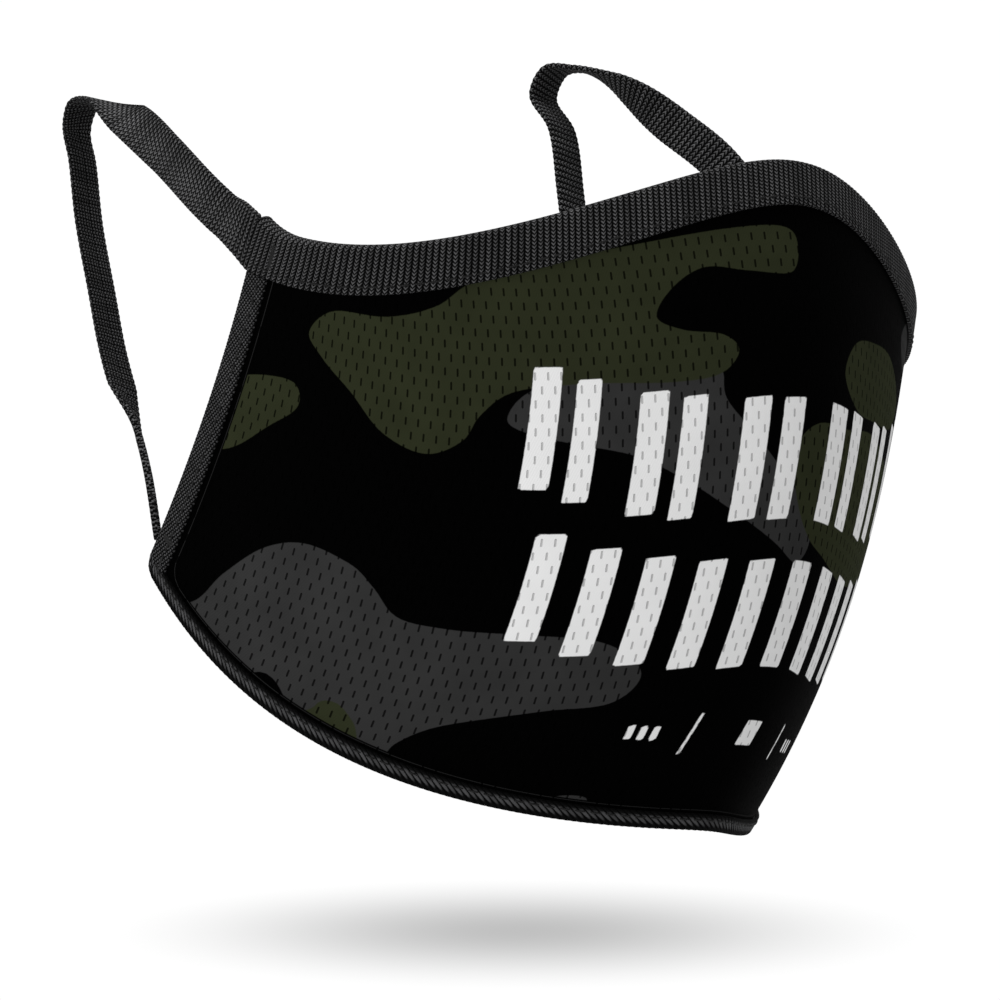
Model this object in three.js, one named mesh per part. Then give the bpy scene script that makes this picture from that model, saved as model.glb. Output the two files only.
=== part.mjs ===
// A camo face mask: a shaped fabric cup of three layers, bound in elastic tape, with an ear
// loop at each side. The cup folds flat at its centre line, so each half is modelled apart.
// Millimetres. +X is the wearer's left, -Y the front and +Z up. The origin lies midway
// between the two ear edges, in the face opening.
import * as THREE from 'three';

// Cup: the outer face of the outer panel, from the centre line round to an ear edge.
const TOP_EDGE_Z = { nose: 55, bridge: 51.5, cheek: 42.5, cheekbone: 35.5, ear: 40.5 };
const BOTTOM_EDGE_Z = { chin: -64.5, underChin: -64.4, jaw: -61.9, jawSide: -49.5, ear: -15.5 };
const CENTRE_LINE_Y = { chin: -57.5, lip: -75, mouth: -83.5, noseTip: -85, noseBridge: -81 };
const EAR_EDGE_Y = { bottom: 22.5, middle: -0.5, top: -21 };
const HALF_WIDTH = { bottom: 64, middle: 70, top: 78 };
const FRONT_NARROWING = 0.5; // 0 leaves each level of the cup an ellipse; more points its front
const NARROWING_CHANGE = -0.12; // added at the top edge, taken off at the bottom edge
const CHEEK_FULLNESS = 0.2;

// Layers, from the outside in, with the clearance that lies between two faces of cloth.
const OUTER_THICKNESS = 0.5;
const INTERLINING_THICKNESS = 0.3;
const LINING_THICKNESS = 0.4;
const CLOTH_GAP = 0.3;
const FOLD_GAP = 0.3; // between the two halves at the centre line

// Bindings: elastic tape folded over the edges.
const TAPE_THICKNESS = 0.6;
const TOP_BINDING_WIDTH = 8;
const LOWER_BINDING_WIDTH = 4.5;

// Nose wire and the sleeve that holds it to the lining, under the top binding.
const WIRE_WIDTH = 3;
const WIRE_THICKNESS = 0.5;
const WIRE_TURN = 35; // degrees round the cup from the centre line to the wire's end
const SLEEVE_THICKNESS = 0.4;
const SLEEVE_MARGIN = 1.2; // flat sewn margin on each side of the wire
const SLEEVE_SLOPE = 0.6; // across the cup, where the sleeve rises from its margin to the wire
const SLEEVE_END = 5; // degrees that the sleeve runs on past the wire

// Stitching and bartacks.
const THREAD_THICKNESS = 0.35;
const THREAD_WIDTH = 0.5;
const THREAD_GAP = 0.3;
const STITCH_MARGIN = 1.5; // from a binding's inner edge to its row of stitches
const BARTACK_THICKNESS = 0.5;
const BARTACK_LENGTH = 1.2; // along the edge
const BARTACK_MARGIN = 1; // from a bartack's ends to the tape's edge or its row of stitches
const TOP_BARTACK_TURN = 86.6;
const BOTTOM_BARTACK_RISE = 0.11;

// Ear loops: the same tape, folded and closed, from the top corner to the bottom corner.
const STRAP_WIDTH = TOP_BINDING_WIDTH;
const STRAP_THICKNESS = 1;
const STRAP_END_WIDTH = 2; // where the strap is pinched into the bottom corner
const STRAP_CLEARANCE = 0.95; // the strap's ends lie on the loop's hinge line, this far off
const STRAP_PINCH = { from: 0.78, to: 0.97 }; // shares of the strap's route
const STRAP_END_RISE = 0.06; // where the pinched end meets the ear edge
const STRAP_SEGMENTS = 44;

// Which way a strap's width lies: upright on the cheek, across behind the ear.
const UPRIGHT = [0, 0, 1];
const ACROSS = [-1, 0, 0];
const TURNING_UP = [-0.5, 0, 0.5];
const EDGEWISE = [-0.7, 0.63, -0.28];

// Each strap's route as [out, back, up, width direction]: out from the middle of the head,
// and back and up from the loop's top anchor, then from its bottom anchor. The left loop
// rides higher than the right one.
const LOOP_ROUTES = {
  right: {
    fromTop: [
      [76, 7, 6, UPRIGHT],
      [74.5, 15, 11.5, UPRIGHT],
      [70, 30, 21.5, UPRIGHT],
      [65.5, 45, 30.5, TURNING_UP],
      [62.5, 55, 35, ACROSS],
      [61, 62, 35.5, ACROSS],
      [60, 65, 31.5, ACROSS],
    ],
    fromBottom: [
      [60, 25.5, 74, ACROSS],
      [60, 23.5, 62, ACROSS],
      [60, 20, 49, ACROSS],
      [60, 17, 38, ACROSS],
      [60.5, 13.5, 30, ACROSS],
      [61.5, 8, 20.5, EDGEWISE],
      [63, 3.5, 12, EDGEWISE],
    ],
  },
  left: {
    fromTop: [
      [76, 5, 9, UPRIGHT],
      [74, 11, 22, UPRIGHT],
      [71, 19, 35, UPRIGHT],
      [68, 30, 44.5, UPRIGHT],
      [65, 41, 53, TURNING_UP],
      [62.5, 50, 57.5, ACROSS],
      [61, 56, 57.5, ACROSS],
      [60, 58.5, 52.5, ACROSS],
    ],
    fromBottom: [
      [60, 15.5, 94, ACROSS],
      [60, 11, 81, ACROSS],
      [60, 8, 66, ACROSS],
      [60, 6.5, 50, ACROSS],
      [60.5, 5.5, 34, ACROSS],
      [61.5, 3.5, 20.5, EDGEWISE],
      [63, 2, 10, EDGEWISE],
    ],
  },
};

// How finely the cup is divided.
const TURN_STEPS = 18;
const RISE_STEPS = 12;

const COLOURS = {
  outer: 0x0b0b0b, inner: 0x141414, tape: 0x262626, wire: 0xa9abad, thread: 0x1c1c1c,
};

const QUARTER_TURN = 90;
const RADIANS = Math.PI / 180;
const EDGE_STATIONS = [0, 22, 45, 68, QUARTER_TURN].map(evenTurn);
const FIVE_RISES = [0, 0.25, 0.5, 0.75, 1];
const THREE_RISES = [0, 0.5, 1];
const STACK = OUTER_THICKNESS + INTERLINING_THICKNESS + LINING_THICKNESS + 2 * CLOTH_GAP;
const OVERHANG = CLOTH_GAP + TAPE_THICKNESS;

/** Makes a turn even about the centre line, so that the cup is smooth across it. */
function evenTurn(turn) {
  return (turn / QUARTER_TURN) ** 2;
}

/** The smooth curve through the given values, read at one place. */
function through(stations, values, at) {
  let sum = 0;
  values.forEach((value, i) => {
    let weight = 1;
    stations.forEach((station, j) => {
      if (j !== i) weight *= (at - station) / (stations[i] - station);
    });
    sum += weight * value;
  });
  return sum;
}

/** A point of the cup: turn is 0 at the centre line, rise is 0 at the bottom edge, 1 at the top. */
function cupPoint(turn, rise) {
  const sine = Math.sin(turn * RADIANS);
  const cosine = Math.cos(turn * RADIANS);
  const narrowing = FRONT_NARROWING + NARROWING_CHANGE * (2 * rise - 1);
  const halfWidth = through(THREE_RISES, Object.values(HALF_WIDTH), rise);
  const earY = through(THREE_RISES, Object.values(EAR_EDGE_Y), rise);
  const frontY = through(FIVE_RISES, Object.values(CENTRE_LINE_Y), rise);
  const top = through(EDGE_STATIONS, Object.values(TOP_EDGE_Z), evenTurn(turn));
  const bottom = through(EDGE_STATIONS, Object.values(BOTTOM_EDGE_Z), evenTurn(turn));
  return new THREE.Vector3(
    halfWidth * sine * (1 - narrowing * cosine ** 2),
    earY + (frontY - earY) * cosine * (1 + CHEEK_FULLNESS * sine ** 2),
    bottom + (top - bottom) * rise,
  );
}

/** A point of the cup with its inward normal and its millimetres per degree and per rise. */
function cupFrame(turn, rise) {
  const step = 0.001;
  const slope = (a, b) => a.sub(b).divideScalar(2 * step);
  const turnwards = slope(cupPoint(turn + step, rise), cupPoint(turn - step, rise));
  const upwards = slope(cupPoint(turn, rise + step), cupPoint(turn, rise - step));
  const inward = upwards.clone().cross(turnwards).normalize();
  return { point: cupPoint(turn, rise), turnwards, upwards, inward };
}

/** Moves a cup frame's point inward by depth, and beyond along a given direction. */
function place(frame, depth, direction = frame.inward, beyond = 0) {
  return frame.point.clone()
    .addScaledVector(frame.inward, depth)
    .addScaledVector(direction, beyond);
}

/** The frame that lies inset millimetres from an edge station, across the cloth. */
function insetFrame(station, inset) {
  const edge = cupFrame(station.turn, station.rise);
  const frame = cupFrame(
    station.turn - station.inTurn * inset / edge.turnwards.length(),
    station.rise + station.inRise * inset / edge.upwards.length(),
  );
  frame.point.addScaledVector(edge.turnwards.clone().normalize(), station.shift ?? 0);
  return frame;
}

/** The direction that leaves the cloth across the edge at a station. */
function outDirection(station) {
  const { turnwards, upwards } = cupFrame(station.turn, station.rise);
  return turnwards.normalize().multiplyScalar(station.inTurn)
    .addScaledVector(upwards.normalize(), -station.inRise);
}

/** Even steps from one number to another, both included. */
function steps(from, to, count) {
  return Array.from({ length: count + 1 }, (_, i) => from + (to - from) * i / count);
}

/**
 * A closed body between two grids of points of the same size. Points on the centre line are
 * kept half the fold gap away from it.
 */
function slab(near, far) {
  const rows = near.length;
  const columns = near[0].length;
  const positions = [];
  for (const grid of [near, far]) {
    for (const point of grid.flat()) {
      positions.push(Math.max(point.x, FOLD_GAP / 2), point.y, point.z);
    }
  }
  const at = (layer, i, j) => layer * rows * columns + i * columns + j;
  const triangles = [];
  const quad = (a, b, c, d) => triangles.push(a, b, c, a, c, d);
  for (let i = 0; i + 1 < rows; i += 1) {
    for (let j = 0; j + 1 < columns; j += 1) {
      quad(at(0, i, j), at(0, i + 1, j), at(0, i + 1, j + 1), at(0, i, j + 1));
      quad(at(1, i, j), at(1, i, j + 1), at(1, i + 1, j + 1), at(1, i + 1, j));
    }
    quad(at(0, i, 0), at(1, i, 0), at(1, i + 1, 0), at(0, i + 1, 0));
    const last = columns - 1;
    quad(at(0, i, last), at(0, i + 1, last), at(1, i + 1, last), at(1, i, last));
  }
  for (let j = 0; j + 1 < columns; j += 1) {
    quad(at(0, 0, j), at(0, 0, j + 1), at(1, 0, j + 1), at(1, 0, j));
    const last = rows - 1;
    quad(at(0, last, j), at(1, last, j), at(1, last, j + 1), at(0, last, j + 1));
  }
  return { positions, triangles };
}

/** Six times the signed volume of a body: positive where its faces point out. */
function signedVolume({ positions, triangles }) {
  let sum = 0;
  const corner = (index) => new THREE.Vector3().fromArray(positions, 3 * index);
  for (let k = 0; k < triangles.length; k += 3) {
    const [a, b, c] = triangles.slice(k, k + 3).map(corner);
    sum += a.dot(b.cross(c));
  }
  return sum;
}

/** Turns a body into geometry for one side, mirrored for the right side of the head. */
function sided(body, side) {
  const mirror = side === 'left' ? 1 : -1;
  const positions = body.positions.map((value, k) => (k % 3 === 0 ? mirror * value : value));
  const triangles = [...body.triangles];
  if (signedVolume({ positions, triangles }) < 0) triangles.reverse();
  const geometry = new THREE.BufferGeometry();
  geometry.setAttribute('position', new THREE.Float32BufferAttribute(positions, 3));
  geometry.setIndex(triangles);
  geometry.computeVertexNormals();
  return geometry;
}

/** One layer of the cup, its outer face lying at the given depth. */
function layer(depth, thickness) {
  const grid = (at) => steps(0, QUARTER_TURN, TURN_STEPS).map((turn) => (
    steps(0, 1, RISE_STEPS).map((rise) => place(cupFrame(turn, rise), at))
  ));
  return slab(grid(depth), grid(depth + thickness));
}

/** The stations of the top edge, from the centre line to just past the ear edge. */
function topPath(lastTurn = QUARTER_TURN, shift = OVERHANG) {
  const across = { rise: 1, inTurn: 0, inRise: -1 };
  const path = steps(0, QUARTER_TURN, TURN_STEPS)
    .filter((turn) => turn <= lastTurn)
    .map((turn) => ({ turn, ...across }));
  return shift > 0 ? [...path, { turn: lastTurn, ...across, shift }] : path;
}

/** The stations down the ear edge, round the bottom corner and along to the chin. */
function lowerPath() {
  const corner = cupFrame(QUARTER_TURN, 1).upwards.length();
  const start = 1 - (TOP_BINDING_WIDTH + CLOTH_GAP) / corner;
  const ends = LOWER_BINDING_WIDTH / cupFrame(QUARTER_TURN, 0).upwards.length();
  const down = { turn: QUARTER_TURN, inTurn: 1, inRise: 0 };
  const inner = steps(1, 0, RISE_STEPS).filter((rise) => rise < start && rise > ends);
  const side = [start, ...inner].map((rise) => ({ rise, ...down }));
  const corners = [{ turn: QUARTER_TURN, rise: 0, inTurn: 1, inRise: 1 }];
  const bottom = steps(QUARTER_TURN, 0, TURN_STEPS).slice(1)
    .map((turn) => ({ turn, rise: 0, inTurn: 0, inRise: 1 }));
  return [...side, ...corners, ...bottom];
}

/** Tape folded over an edge: a channel whose two legs hold the layers between them. */
function binding(path, width) {
  const skin = [];
  const slot = [];
  const outside = -CLOTH_GAP;
  const inside = STACK + CLOTH_GAP;
  for (const station of path) {
    const edge = insetFrame(station, 0);
    const leg = insetFrame(station, width);
    const out = outDirection(station);
    skin.push([
      place(leg, outside - TAPE_THICKNESS),
      place(edge, outside - TAPE_THICKNESS),
      place(edge, 0, out, OVERHANG),
      place(edge, STACK, out, OVERHANG),
      place(edge, inside + TAPE_THICKNESS),
      place(leg, inside + TAPE_THICKNESS),
    ]);
    slot.push([
      place(leg, outside),
      place(edge, outside),
      place(edge, outside, out, CLOTH_GAP),
      place(edge, inside, out, CLOTH_GAP),
      place(edge, inside),
      place(leg, inside),
    ]);
  }
  return slab(skin, slot);
}

/** A flat band that follows an edge, between two insets and two depths. */
function band(path, insets, depth, thickness) {
  const grid = (at) => path.map((station) => (
    insets.map((inset) => place(insetFrame(station, inset), at))
  ));
  return slab(grid(depth), grid(depth + thickness));
}

/** A row of stitches on a binding's outer face. */
function stitching(path, width) {
  const middle = width - STITCH_MARGIN;
  const insets = [middle - THREAD_WIDTH / 2, middle + THREAD_WIDTH / 2];
  return band(path, insets, -OVERHANG - THREAD_GAP, -THREAD_THICKNESS);
}

/** A bartack across a binding's outer face, from near the edge to the given inset. */
function bartack(path, end) {
  return band(path, [BARTACK_MARGIN, end], -OVERHANG - THREAD_GAP, -BARTACK_THICKNESS);
}

/** The part of the top path from the centre line out to one turn. */
function nosePath(turn) {
  return topPath(turn, 0);
}

const WIRE_START = TOP_BINDING_WIDTH + CLOTH_GAP + SLEEVE_MARGIN + SLEEVE_SLOPE;
const WIRE_DEPTH = STACK + CLOTH_GAP;

/** The sleeve's section: sewn margins, with a raised middle that clears the wire. */
function noseSleeve() {
  const raised = WIRE_DEPTH + WIRE_THICKNESS + CLOTH_GAP;
  const wireEnd = WIRE_START + WIRE_WIDTH;
  const profile = [
    [WIRE_START - SLEEVE_SLOPE - SLEEVE_MARGIN, WIRE_DEPTH],
    [WIRE_START - SLEEVE_SLOPE, WIRE_DEPTH],
    [WIRE_START - CLOTH_GAP, raised],
    [wireEnd + CLOTH_GAP, raised],
    [wireEnd + SLEEVE_SLOPE, WIRE_DEPTH],
    [wireEnd + SLEEVE_SLOPE + SLEEVE_MARGIN, WIRE_DEPTH],
  ];
  const grid = (extra) => nosePath(WIRE_TURN + SLEEVE_END).map((station) => (
    profile.map(([inset, depth]) => place(insetFrame(station, inset), depth + extra))
  ));
  return slab(grid(0), grid(SLEEVE_THICKNESS));
}

/** A point on the line that a loop swings about, just behind the ear edge. */
function anchor(rise) {
  const frame = cupFrame(QUARTER_TURN, rise);
  const back = frame.turnwards.clone().normalize();
  return place(frame, STACK / 2, back, OVERHANG + STRAP_CLEARANCE);
}

/** The top and bottom anchors of an ear loop. */
function anchors() {
  const topInset = STRAP_WIDTH / 2 / cupFrame(QUARTER_TURN, 1).upwards.length();
  return { top: anchor(1 - topInset), bottom: anchor(STRAP_END_RISE) };
}

/** One ear loop: a flat strap along its route, turned to its width direction at each point. */
function earLoop({ fromTop, fromBottom }) {
  const { top, bottom } = anchors();
  const hinge = top.clone().sub(bottom).normalize();
  const control = [
    { point: top, width: hinge },
    ...fromTop.map((row) => routePoint(row, top)),
    ...fromBottom.map((row) => routePoint(row, bottom)),
    { point: bottom, width: new THREE.Vector3(...EDGEWISE) },
  ];
  const curve = new THREE.CatmullRomCurve3(control.map(({ point }) => point), false, 'centripetal');
  const near = [];
  const far = [];
  for (const share of steps(0, 1, STRAP_SEGMENTS)) {
    const spot = share * (control.length - 1);
    const index = Math.min(Math.floor(spot), control.length - 2);
    const hint = control[index].width.clone().lerp(control[index + 1].width, spot - index);
    const along = curve.getTangent(share);
    const width = share === 0 ? hinge.clone() : hint.addScaledVector(along, -hint.dot(along));
    width.normalize();
    const face = along.clone().cross(width).normalize();
    const pinch = THREE.MathUtils.smoothstep(share, STRAP_PINCH.from, STRAP_PINCH.to);
    const half = (STRAP_WIDTH + (STRAP_END_WIDTH - STRAP_WIDTH) * pinch) / 2;
    const centre = curve.getPoint(share);
    const row = (offset) => [-half, half].map((across) => centre.clone()
      .addScaledVector(width, across)
      .addScaledVector(face, offset));
    near.push(row(-STRAP_THICKNESS / 2));
    far.push(row(STRAP_THICKNESS / 2));
  }
  return slab(near, far);
}

/** A route row as a point and its width direction. */
function routePoint([out, back, up, width], from) {
  return {
    point: new THREE.Vector3(out, from.y + back, from.z + up),
    width: new THREE.Vector3(...width),
  };
}

/** Adds one named piece with its own material. */
function addPiece(parent, name, body, side, colour, roughness, metalness = 0) {
  const material = new THREE.MeshStandardMaterial({ color: colour, roughness, metalness });
  const mesh = new THREE.Mesh(sided(body, side), material);
  mesh.name = `${name}_${side}`;
  parent.add(mesh);
}

/** Half of the cup with everything that is sewn to it. */
function maskHalf(side) {
  const half = new THREE.Group();
  const interliningDepth = OUTER_THICKNESS + CLOTH_GAP;
  const liningDepth = interliningDepth + INTERLINING_THICKNESS + CLOTH_GAP;
  const topFrame = cupFrame(TOP_BARTACK_TURN, 1);
  const bottomFrame = cupFrame(QUARTER_TURN, BOTTOM_BARTACK_RISE);
  const topTackPath = [0, BARTACK_LENGTH / topFrame.turnwards.length()]
    .map((turn) => ({ turn: TOP_BARTACK_TURN + turn, rise: 1, inTurn: 0, inRise: -1 }));
  const bottomTackPath = [0, BARTACK_LENGTH / bottomFrame.upwards.length()]
    .map((rise) => ({ turn: QUARTER_TURN, rise: BOTTOM_BARTACK_RISE + rise, inTurn: 1, inRise: 0 }));
  const topTack = bartack(topTackPath, TOP_BINDING_WIDTH - BARTACK_MARGIN);
  const bottomTack = bartack(bottomTackPath, LOWER_BINDING_WIDTH - STITCH_MARGIN - BARTACK_MARGIN);
  const lastStitch = QUARTER_TURN - QUARTER_TURN / TURN_STEPS;
  const wire = band(
    nosePath(WIRE_TURN), [WIRE_START, WIRE_START + WIRE_WIDTH], WIRE_DEPTH, WIRE_THICKNESS,
  );
  const add = (name, body, colour, roughness, metalness) => {
    addPiece(half, name, body, side, colour, roughness, metalness);
  };
  add('outer_panel', layer(0, OUTER_THICKNESS), COLOURS.outer, 0.75);
  add('interlining', layer(interliningDepth, INTERLINING_THICKNESS), COLOURS.inner, 0.9);
  add('inner_lining', layer(liningDepth, LINING_THICKNESS), COLOURS.inner, 0.85);
  add('top_binding', binding(topPath(), TOP_BINDING_WIDTH), COLOURS.tape, 0.7);
  add('lower_binding', binding(lowerPath(), LOWER_BINDING_WIDTH), COLOURS.tape, 0.7);
  add('top_stitching', stitching(nosePath(lastStitch), TOP_BINDING_WIDTH), COLOURS.thread, 0.8);
  add('lower_stitching', stitching(lowerPath(), LOWER_BINDING_WIDTH), COLOURS.thread, 0.8);
  add('nose_wire', wire, COLOURS.wire, 0.35, 0.9);
  add('nose_wire_sleeve', noseSleeve(), COLOURS.inner, 0.85);
  add('top_bartack', topTack, COLOURS.thread, 0.8);
  add('bottom_bartack', bottomTack, COLOURS.thread, 0.8);
  return half;
}

const mask = new THREE.Group();
for (const side of ['right', 'left']) {
  mask.add(maskHalf(side));
  addPiece(mask, 'ear_loop', earLoop(LOOP_ROUTES[side]), side, COLOURS.tape, 0.7);
}

export default mask;
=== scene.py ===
"""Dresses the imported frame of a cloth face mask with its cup, bindings, ear straps and print."""

import logging
import math
from dataclasses import dataclass, field
from enum import Enum
from functools import cache
from typing import Callable, Sequence, Union

import bpy
import numpy as np
from mathutils import Matrix, Vector


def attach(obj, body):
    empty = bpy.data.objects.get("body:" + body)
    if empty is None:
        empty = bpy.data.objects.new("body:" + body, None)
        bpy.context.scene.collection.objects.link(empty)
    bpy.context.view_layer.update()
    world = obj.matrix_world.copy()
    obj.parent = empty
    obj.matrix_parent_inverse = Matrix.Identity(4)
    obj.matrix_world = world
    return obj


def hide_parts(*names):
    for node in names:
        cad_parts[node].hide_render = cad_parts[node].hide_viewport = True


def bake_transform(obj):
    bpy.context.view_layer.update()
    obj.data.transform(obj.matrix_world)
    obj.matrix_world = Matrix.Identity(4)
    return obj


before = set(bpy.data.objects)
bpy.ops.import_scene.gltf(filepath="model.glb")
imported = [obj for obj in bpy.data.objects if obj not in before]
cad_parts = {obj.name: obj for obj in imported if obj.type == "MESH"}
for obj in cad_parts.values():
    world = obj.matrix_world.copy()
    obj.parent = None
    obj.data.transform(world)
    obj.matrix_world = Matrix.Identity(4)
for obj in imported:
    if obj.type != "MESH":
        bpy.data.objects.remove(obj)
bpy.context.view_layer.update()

Array = np.ndarray
Socket = bpy.types.NodeSocket
Feed = Union[float, Sequence[float], Socket]
Colour = tuple[float, float, float]

MM = 0.001
QUARTER = 90.0
MAP_NAME = "ClothMap"
LOG = logging.getLogger("face_mask")

# The cup's build-up in millimetres, from its outer face inward.
OUTER_THICKNESS = 0.5
INTERLINING_THICKNESS = 0.3
LINING_THICKNESS = 0.4
CLOTH_GAP = 0.3
TAPE_THICKNESS = 0.6
STACK = OUTER_THICKNESS + INTERLINING_THICKNESS + LINING_THICKNESS + 2 * CLOTH_GAP
OVERHANG = CLOTH_GAP + TAPE_THICKNESS
TOP_BINDING_WIDTH = 8.0
LOWER_BINDING_WIDTH = 4.5
BINDING_GAP = 0.05
RIB_PITCH = 1.2

# The lower binding's width at the ears and under the chin, as shares of its usual width.
SIDE_SHARE, LOW_SHARE = 1.1, 0.66
# How far the top binding and the straps rise at the top corners, and over what length.
BINDING_LIFT, STRAP_LIFT, LIFT_RUN = 1.75, 2.0, 10.0


class Side(Enum):
    """The wearer's side, with the sign of X there."""

    RIGHT = -1
    LEFT = 1

    @property
    def word(self) -> str:
        """The side's name as the frame spells it."""
        return self.name.lower()


class Ink(Enum):
    """The colours printed on the outer panel, named after the attribute that holds each."""

    OLIVE = "olive_print"
    GREY = "grey_print"
    WHITE = "white_print"


# ---------------------------------------------------------------- shape


def through(stations: Sequence[float], values: Sequence[float], at: Array) -> Array:
    """Reads the smooth curve through some values.

    Args:
        stations: Where the values stand.
        values: The values.
        at: Where to read the curve.

    Returns:
        The curve's value at each place.
    """
    total = np.zeros_like(at)
    for i, value in enumerate(values):
        weight = np.ones_like(at)
        for j, station in enumerate(stations):
            if j != i:
                weight = weight * (at - station) / (stations[i] - station)
        total = total + weight * value
    return total


def unit(vectors: Array) -> Array:
    """Vectors scaled to length one."""
    return vectors / np.linalg.norm(vectors, axis=-1, keepdims=True)


def smooth(value: Array) -> Array:
    """A smooth step of a value from 0 to 1."""
    held = np.clip(value, 0.0, 1.0)
    return held * held * (3 - 2 * held)


def lengths_along(points: Array) -> Array:
    """The distance along a line of points, from the first one."""
    steps = np.linalg.norm(np.diff(points, axis=0), axis=1)
    return np.concatenate([[0.0], np.cumsum(steps)])


@dataclass(frozen=True)
class CupFrame:
    """Points of the cup with the directions of the cloth there."""

    point: Array
    turnwards: Array
    upwards: Array

    @property
    def inward(self) -> Array:
        """The direction through the cloth towards the face."""
        return unit(np.cross(self.upwards, self.turnwards))


@dataclass(frozen=True)
class CupShape:
    """The curved cup. Turn is in degrees from the centre line and rise runs from 0 to 1."""

    top_edge: tuple[float, ...] = (55, 51.5, 42.5, 35.5, 40.5)
    bottom_edge: tuple[float, ...] = (-64.5, -64.4, -61.9, -49.5, -15.5)
    centre_line: tuple[float, ...] = (-57.5, -75, -83.5, -85, -81)
    ear_edge: tuple[float, ...] = (22.5, -0.5, -21)
    half_width: tuple[float, ...] = (64, 70, 78)
    stations: tuple[float, ...] = tuple((turn / QUARTER) ** 2 for turn in (0, 22, 45, 68, 90))
    narrowing: float = 0.5
    narrowing_change: float = -0.12
    fullness: float = 0.2
    corner_radius: float = 2.4
    margin_cut: float = 2.4
    margin_radius: float = 9.0

    def point(self, turn: Array, rise: Array) -> Array:
        """Places on the cup's outer face.

        Args:
            turn: Degrees round the cup, negative on the wearer's right.
            rise: From 0 at the bottom edge to 1 at the top edge.

        Returns:
            The points in millimetres.
        """
        turn, rise = np.broadcast_arrays(np.asarray(turn, float), np.asarray(rise, float))
        sine, cosine = np.sin(np.radians(turn)), np.cos(np.radians(turn))
        narrow = self.narrowing + self.narrowing_change * (2 * rise - 1)
        even = (turn / QUARTER) ** 2
        thirds, fifths = (0, 0.5, 1), (0, 0.25, 0.5, 0.75, 1)
        ear_y = through(thirds, self.ear_edge, rise)
        front_y = through(fifths, self.centre_line, rise)
        top = through(self.stations, self.top_edge, even)
        bottom = through(self.stations, self.bottom_edge, even)
        return np.stack(
            [
                through(thirds, self.half_width, rise) * sine * (1 - narrow * cosine**2),
                ear_y + (front_y - ear_y) * cosine * (1 + self.fullness * sine**2),
                bottom + (top - bottom) * rise,
            ],
            axis=-1,
        )

    def frame(self, turn: Array, rise: Array) -> CupFrame:
        """Points with their millimetres per degree and per rise."""
        step = 1e-3
        return CupFrame(
            self.point(turn, rise),
            (self.point(turn + step, rise) - self.point(turn - step, rise)) / (2 * step),
            (self.point(turn, rise + step) - self.point(turn, rise - step)) / (2 * step),
        )

    def scales(self, turn: Array, rise: Array) -> tuple[Array, Array]:
        """Millimetres per degree and millimetres per rise."""
        at = self.frame(turn, rise)
        return np.linalg.norm(at.turnwards, axis=-1), np.linalg.norm(at.upwards, axis=-1)

    def from_edges(self, turn: Array, rise: Array) -> tuple[Array, Array]:
        """Millimetres from the ear edge and from the bottom edge."""
        per_turn, per_rise = self.scales(np.array(QUARTER), np.array(0.0))
        return (QUARTER - np.abs(turn)) * per_turn, rise * per_rise

    def rounded(self, turn: Array, rise: Array) -> tuple[Array, Array]:
        """Moves places near the bottom corners so that the cloth ends in a round corner."""
        per_turn, per_rise = self.scales(np.array(QUARTER), np.array(0.0))
        aside, above = self.from_edges(turn, rise)
        first = np.clip(self.corner_radius - aside, 0, None)
        second = np.clip(self.corner_radius - above, 0, None)
        near = (first > 0) & (second > 0)
        reach = np.where(near, np.hypot(first, second), 1.0)
        share = np.where(near, np.maximum(first, second) / reach, 1.0)
        aside = np.where(near, self.corner_radius - first * share, aside)
        above = np.where(near, self.corner_radius - second * share, above)
        return np.sign(turn) * (QUARTER - aside / per_turn), above / per_rise

    def cloth_place(self, turn: Array, rise: Array) -> tuple[Array, Array]:
        """Millimetres over the cloth: across from the centre line, and up from mid height."""
        fine = np.linspace(-100, 100, 401)
        per_turn, _ = self.scales(fine, np.full_like(fine, 0.5))
        run = np.concatenate([[0.0], np.cumsum((per_turn[1:] + per_turn[:-1]) / 4)])
        across = np.interp(turn, fine, run - np.interp(0.0, fine, run))
        count = 10
        up = np.zeros_like(across)
        for k in range(count):
            _, per_rise = self.scales(turn, 0.5 + (rise - 0.5) * (k + 0.5) / count)
            up = up + per_rise * (rise - 0.5) / count
        return across, up

    def edge_distance(self, turn: Array, rise: Array) -> Array:
        """Millimetres in from the ear edge, or from a line a little below the bottom edge.

        Args:
            turn: Degrees round the cup.
            rise: From 0 at the bottom edge to 1 at the top edge.

        Returns:
            The distances, rounded at the corner and no more than the rounding's radius.
        """
        per_turn, per_rise = self.scales(turn, rise)
        aside = (QUARTER - np.abs(turn)) * per_turn
        above = rise * per_rise + self.margin_cut
        radius = self.margin_radius
        first, second = np.clip(radius - aside, 0, None), np.clip(radius - above, 0, None)
        return np.where(
            (first > 0) | (second > 0), radius - np.hypot(first, second), radius
        )


CUP = CupShape()


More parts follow.
